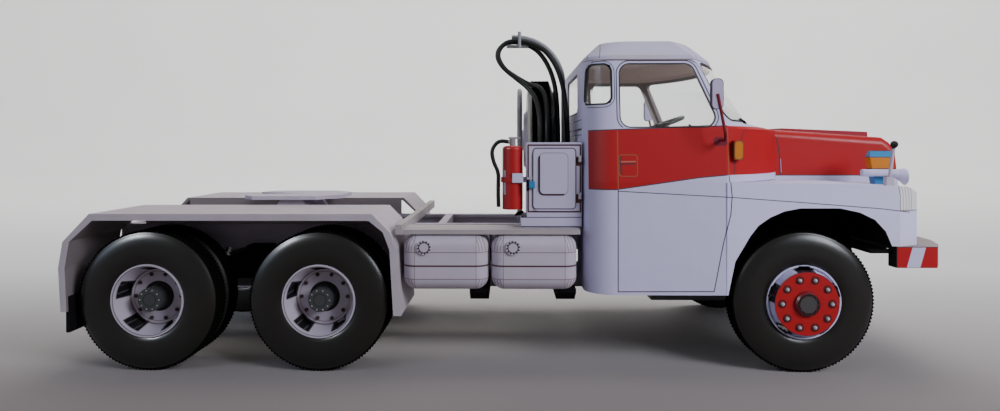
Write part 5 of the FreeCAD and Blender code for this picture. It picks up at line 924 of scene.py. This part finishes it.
def bakeTree(name, tree, values, body):
    holder = addObject(name, bpy.data.meshes.new(name + "Start"))
    modifier = holder.modifiers.new("nodes", "NODES")
    modifier.node_group = tree
    for item in tree.interface.items_tree:
        if item.in_out == "INPUT" and item.name in values:
            modifier[item.identifier] = values[item.name]
    holder.update_tag()
    made = bpy.data.meshes.new_from_object(holder.evaluated_get(bpy.context.evaluated_depsgraph_get()))
    holder.modifiers.clear()
    holder.data = made
    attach(holder, body)


nutTree = makeNutTree()
nutKeys = ("Count", "Ring Radius", "Nut Radius", "Nut Depth", "Sides", "Dome Radius")
nutRings = {               # sizes in the order of the keys, then how far across the ring stands, and its finish
    "front": [(10, 5.8, 0.6, 0.3, 20, 0.1, 38.42, "steel"), (10, 5.8, 0.44, 0.75, 12, 0.42, 38.4, "silver"),
              (10, 2.1, 0.16, 0.3, 6, 0.1, 39.3, "steel")],
    "rear": [(10, 5.65, 0.5, 0.7, 6, 0.4, 31.2, "nutRed"), (10, 2.35, 0.2, 0.3, 8, 0.16, 35.9, "bolt")],
}


def makeNuts():
    for axle, (ahead, face, inward) in axles.items():
        for side, outward in (("right", -1), ("left", 1)):
            for number, row in enumerate(nutRings["front" if axle == "front" else "rear"]):
                *sizes, across, finish = row
                values = {key: size * mm if isinstance(size, float) else size
                          for key, size in zip(nutKeys, sizes)}
                values["Dome Lift"] = -outward * domeLift * values["Nut Depth"]
                values["Place"] = at(ahead, outward * across, hubHeight)
                values["Material"] = finishes[finish]
                bakeTree(f"nuts_{axle}_{side}_{number}", nutTree, values, f"wheel_{axle}_{side}")
    print("nuts made")


makeNuts()


# Air hoses: control points as in the part's source, mm behind the front axle, across and up

hoses = {
    "air_hose_inner": [
        (56.2, -9.4, 33.8), (56.2, -9.4, 47.0), (56.2, -9.3, 61.1), (57.0, -9.1, 71.9), (60.6, -8.5, 79.6),
        (65.6, -8.2, 82.6), (70.6, -8.4, 82.8), (73.4, -8.8, 79.7), (71.9, -9.0, 75.8), (67.7, -9.1, 72.9),
        (64.3, -9.6, 70.9), (61.4, -10.6, 70.2), (60.0, -13.2, 67.8), (59.7, -16.3, 63.5), (59.8, -18.95, 59.2),
        (59.8, -18.95, 54.9),
    ],
    "air_hose_outer": [
        (53.5, -10.9, 33.8), (53.5, -10.9, 47.0), (53.8, -10.9, 61.1), (55.2, -10.8, 72.6), (59.3, -10.6, 80.1),
        (64.8, -10.3, 82.5), (70.3, -10.3, 82.9), (73.2, -10.4, 79.5), (71.5, -10.5, 75.4), (67.4, -10.7, 72.2),
        (64.3, -12.0, 69.6), (62.4, -14.5, 66.5), (61.7, -17.2, 62.7), (61.6, -18.95, 58.8),
        (61.6, -18.95, 54.9),
    ],
}
hoseSpec = {"diameter": 1.3, "round": 6, "steps": 12,
            "lengths": {"air_hose_inner": 95.16, "air_hose_outer": 93.3}}


def makeHoses():
    for name, route in hoses.items():
        curve = bpy.data.curves.new(name, "CURVE")
        curve.dimensions = "3D"
        curve.bevel_depth = hoseSpec["diameter"] / 2 * mm
        curve.bevel_resolution = hoseSpec["round"]
        curve.resolution_u = hoseSpec["steps"]
        curve.use_fill_caps = True
        spline = curve.splines.new("NURBS")
        spline.points.add(len(route) - 1)
        for point, (back, across, up) in zip(spline.points, route):
            point.co = (*at(-back, across, up), 1)
        spline.order_u = 3
        spline.use_endpoint_u = True
        piece = addObject(name + "_line", curve)
        curve.materials.append(finishes["tube"])
        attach(piece, "chassis")
        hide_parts(name)
        back, across, up = route[0]
    print("hoses made")


makeHoses()


# Small fittings glued on the model: mm ahead of the front axle, across and up

smallBlocks = {
    "latch_bracket": ("black", (-65.5, -31.9, 43.1), (-64.8, -31.6, 45.85)),
    "latch_grip": ("blue", (-64.9, -32.05, 43.7), (-63.45, -31.6, 45.4)),
    "latch_pin": ("hinge", (-65.35, -31.95, 45.8), (-64.1, -31.6, 46.35)),
    "band_plate": ("white", (-69.0, -31.4, 45.0), (-66.3, -31.1, 47.3)),
}
wiperFoot = [(-11.8, 59.3), (-9.7, 59.6), (-10.3, 60.3), (-11.5, 61.1)]
smallPrisms = {
    "bottle_hook": ((-27.0, -25.4),
                    [(-68.4, 36.4), (-66.8, 36.6), (-66.0, 37.4), (-66.7, 37.8), (-67.9, 37.2)]),
    "wiper_foot_right": ((-25.3, -24.7), wiperFoot),
    "wiper_foot_left": ((24.7, 25.3), wiperFoot),
}
smallBevel = {"offset": 0.06 * mm, "segments": 2, "profile": 0.6}
hingeSpec = {
    "ahead": -52.5, "across": -31.75, "spans": [(50.05, 51.66), (41.0, 42.6)], "radius": 0.4, "sides": 16,
    "rims": [(0, 0.8), (0.06, 1), (0.44, 1), (0.47, 0.8), (0.53, 0.8), (0.56, 1), (0.94, 1), (1, 0.8)],
}


def closedMesh(name, groups, bevelled=True):
    # joins closed rims of points, one after another, and caps both ends
    form = bmesh.new()
    for rims in groups:
        rows = [[form.verts.new(at(*spot)) for spot in rim] for rim in rims]
        for one, two in zip(rows, rows[1:]):
            joinRims(form, one, two)
        form.faces.new(rows[0][::-1])
        form.faces.new(rows[-1])
    bmesh.ops.recalc_face_normals(form, faces=form.faces)
    if bevelled:
        bmesh.ops.bevel(form, geom=form.edges[:], affect="EDGES", **smallBevel)
    return meshFrom(name, form)


def makeSmallPieces():
    for name, (finish, (rear, right, foot), (front, left, top)) in smallBlocks.items():
        rims = [[(rear, across, foot), (front, across, foot), (front, across, top), (rear, across, top)]
                for across in (right, left)]
        newPiece(name, closedMesh(name, [rims]), finish, "chassis")
    for name, (span, outline) in smallPrisms.items():
        rims = [[(ahead, across, up) for ahead, up in outline] for across in span]
        newPiece(name, closedMesh(name, [rims]), "black", "chassis")
    spec = hingeSpec
    turns = [2 * math.pi * step / spec["sides"] for step in range(spec["sides"])]
    hinges = [[[(spec["ahead"] + spec["radius"] * size * math.cos(turn),
                 spec["across"] + spec["radius"] * size * math.sin(turn), low + share * (high - low))
                for turn in turns] for share, size in spec["rims"]] for low, high in spec["spans"]]
    newPiece("box_hinges", closedMesh("box_hinges", hinges, bevelled=False), "hinge", "chassis")
    print("small pieces made")


makeSmallPieces()


# Stage and light: a paper sweep, with painted shade on the floor near the model

sweepSpec = {
    "outline": [(-1.6, 0.0), (0.55, 0.0), (0.72, 0.02), (0.86, 0.08), (0.95, 0.18), (1.0, 0.32), (1.02, 1.6)],
    "half": 2.4, "roughness": 0.85, "cloud": 6, "tones": ((0.6, 0.59, 0.58), (0.66, 0.65, 0.64)),
    "near": (0.165, 0.13, 0.125), "nearBack": (-0.08, 0.1, 1.0, 0.0), "nearFront": (-0.4, -0.14),
}


def makeStage():
    spec = sweepSpec
    form = bmesh.new()
    left, right = [[form.verts.new((across, depth, height)) for depth, height in spec["outline"]]
                   for across in (-spec["half"], spec["half"])]
    for index in range(len(left) - 1):
        form.faces.new((left[index], right[index], right[index + 1], left[index + 1]))
    bmesh.ops.recalc_face_normals(form, faces=form.faces)
    sweep = addObject("sweep", meshFrom("sweep", form, smooth=True))
    material, tree = newMaterial("paperSweep")
    place = objectPlace(tree)
    depth = split(place)[1]
    first, second = spec["tones"]
    paper = paint(first, noise(place, Scale=spec["cloud"]), second)
    # a darker brown band on the floor round and under the model is painted shade
    near = both(ramp(depth, *spec["nearBack"]), ramp(depth, *spec["nearFront"]))
    feed(tree.nodes["Principled BSDF"], {
        "Roughness": spec["roughness"], "Base Color": paint(paper, near, spec["near"])})
    sweep.data.materials.append(material)


lights = {
    "window": {"place": (0.3, -0.28, 0.22), "aim": (0.03, 0, 0.03), "size": (0.16, 0.16), "power": 1.5,
               "colour": (0.87, 0.91, 1.0)},
    "overhead": {"place": (0.1, 0.25, 0.8), "aim": (0.0, 0.0, 0.0), "size": (0.6, 0.6), "power": 3.6,
                 "colour": (1, 0.98, 0.95)},
    "backdrop": {"place": (0.35, 0.4, 0.66), "aim": (0.25, 1.0, 0.3), "size": (1.9, 0.35), "power": 15.5},
    "backdropLeft": {"place": (-0.95, 0.4, 0.66), "aim": (-0.95, 1.0, 0.3), "size": (0.8, 0.35), "power": 5.5},
    "sky": {"place": (-0.45, -0.26, 0.22), "aim": (0.02, 0, 0.03), "size": (0.25, 0.25), "power": 0.4,
            "colour": (0.6, 0.75, 1.0)},
    "glint": {"place": (-0.36, -0.3, 0.3), "aim": (-0.07, 0, 0.02), "size": (0.09, 0.09), "power": 2.2,
              "colour": (0.9, 0.95, 1.0), "shinesOnly": True},
}
roomSpec = {"colour": (0.92, 0.93, 1.0, 1), "strength": 0.22}


def makeLights():
    for name, spec in lights.items():
        data = bpy.data.lights.new(name, "AREA")
        data.shape = "RECTANGLE"
        data.size, data.size_y = spec["size"]
        data.energy = spec["power"]
        data.color = spec.get("colour", (1, 1, 1))
        lamp = addObject(name, data)
        lamp.location = spec["place"]
        lamp.rotation_euler = (Vector(spec["aim"]) - Vector(spec["place"])).to_track_quat("-Z", "Y").to_euler()
        lamp.visible_diffuse = not spec.get("shinesOnly", False)
    world = bpy.data.worlds.new("room")
    bpy.context.scene.world = world
    world.use_nodes = True
    feed(world.node_tree.nodes["Background"], {0: roomSpec["colour"], 1: roomSpec["strength"]})


makeStage()
makeLights()
print("stage and light set")
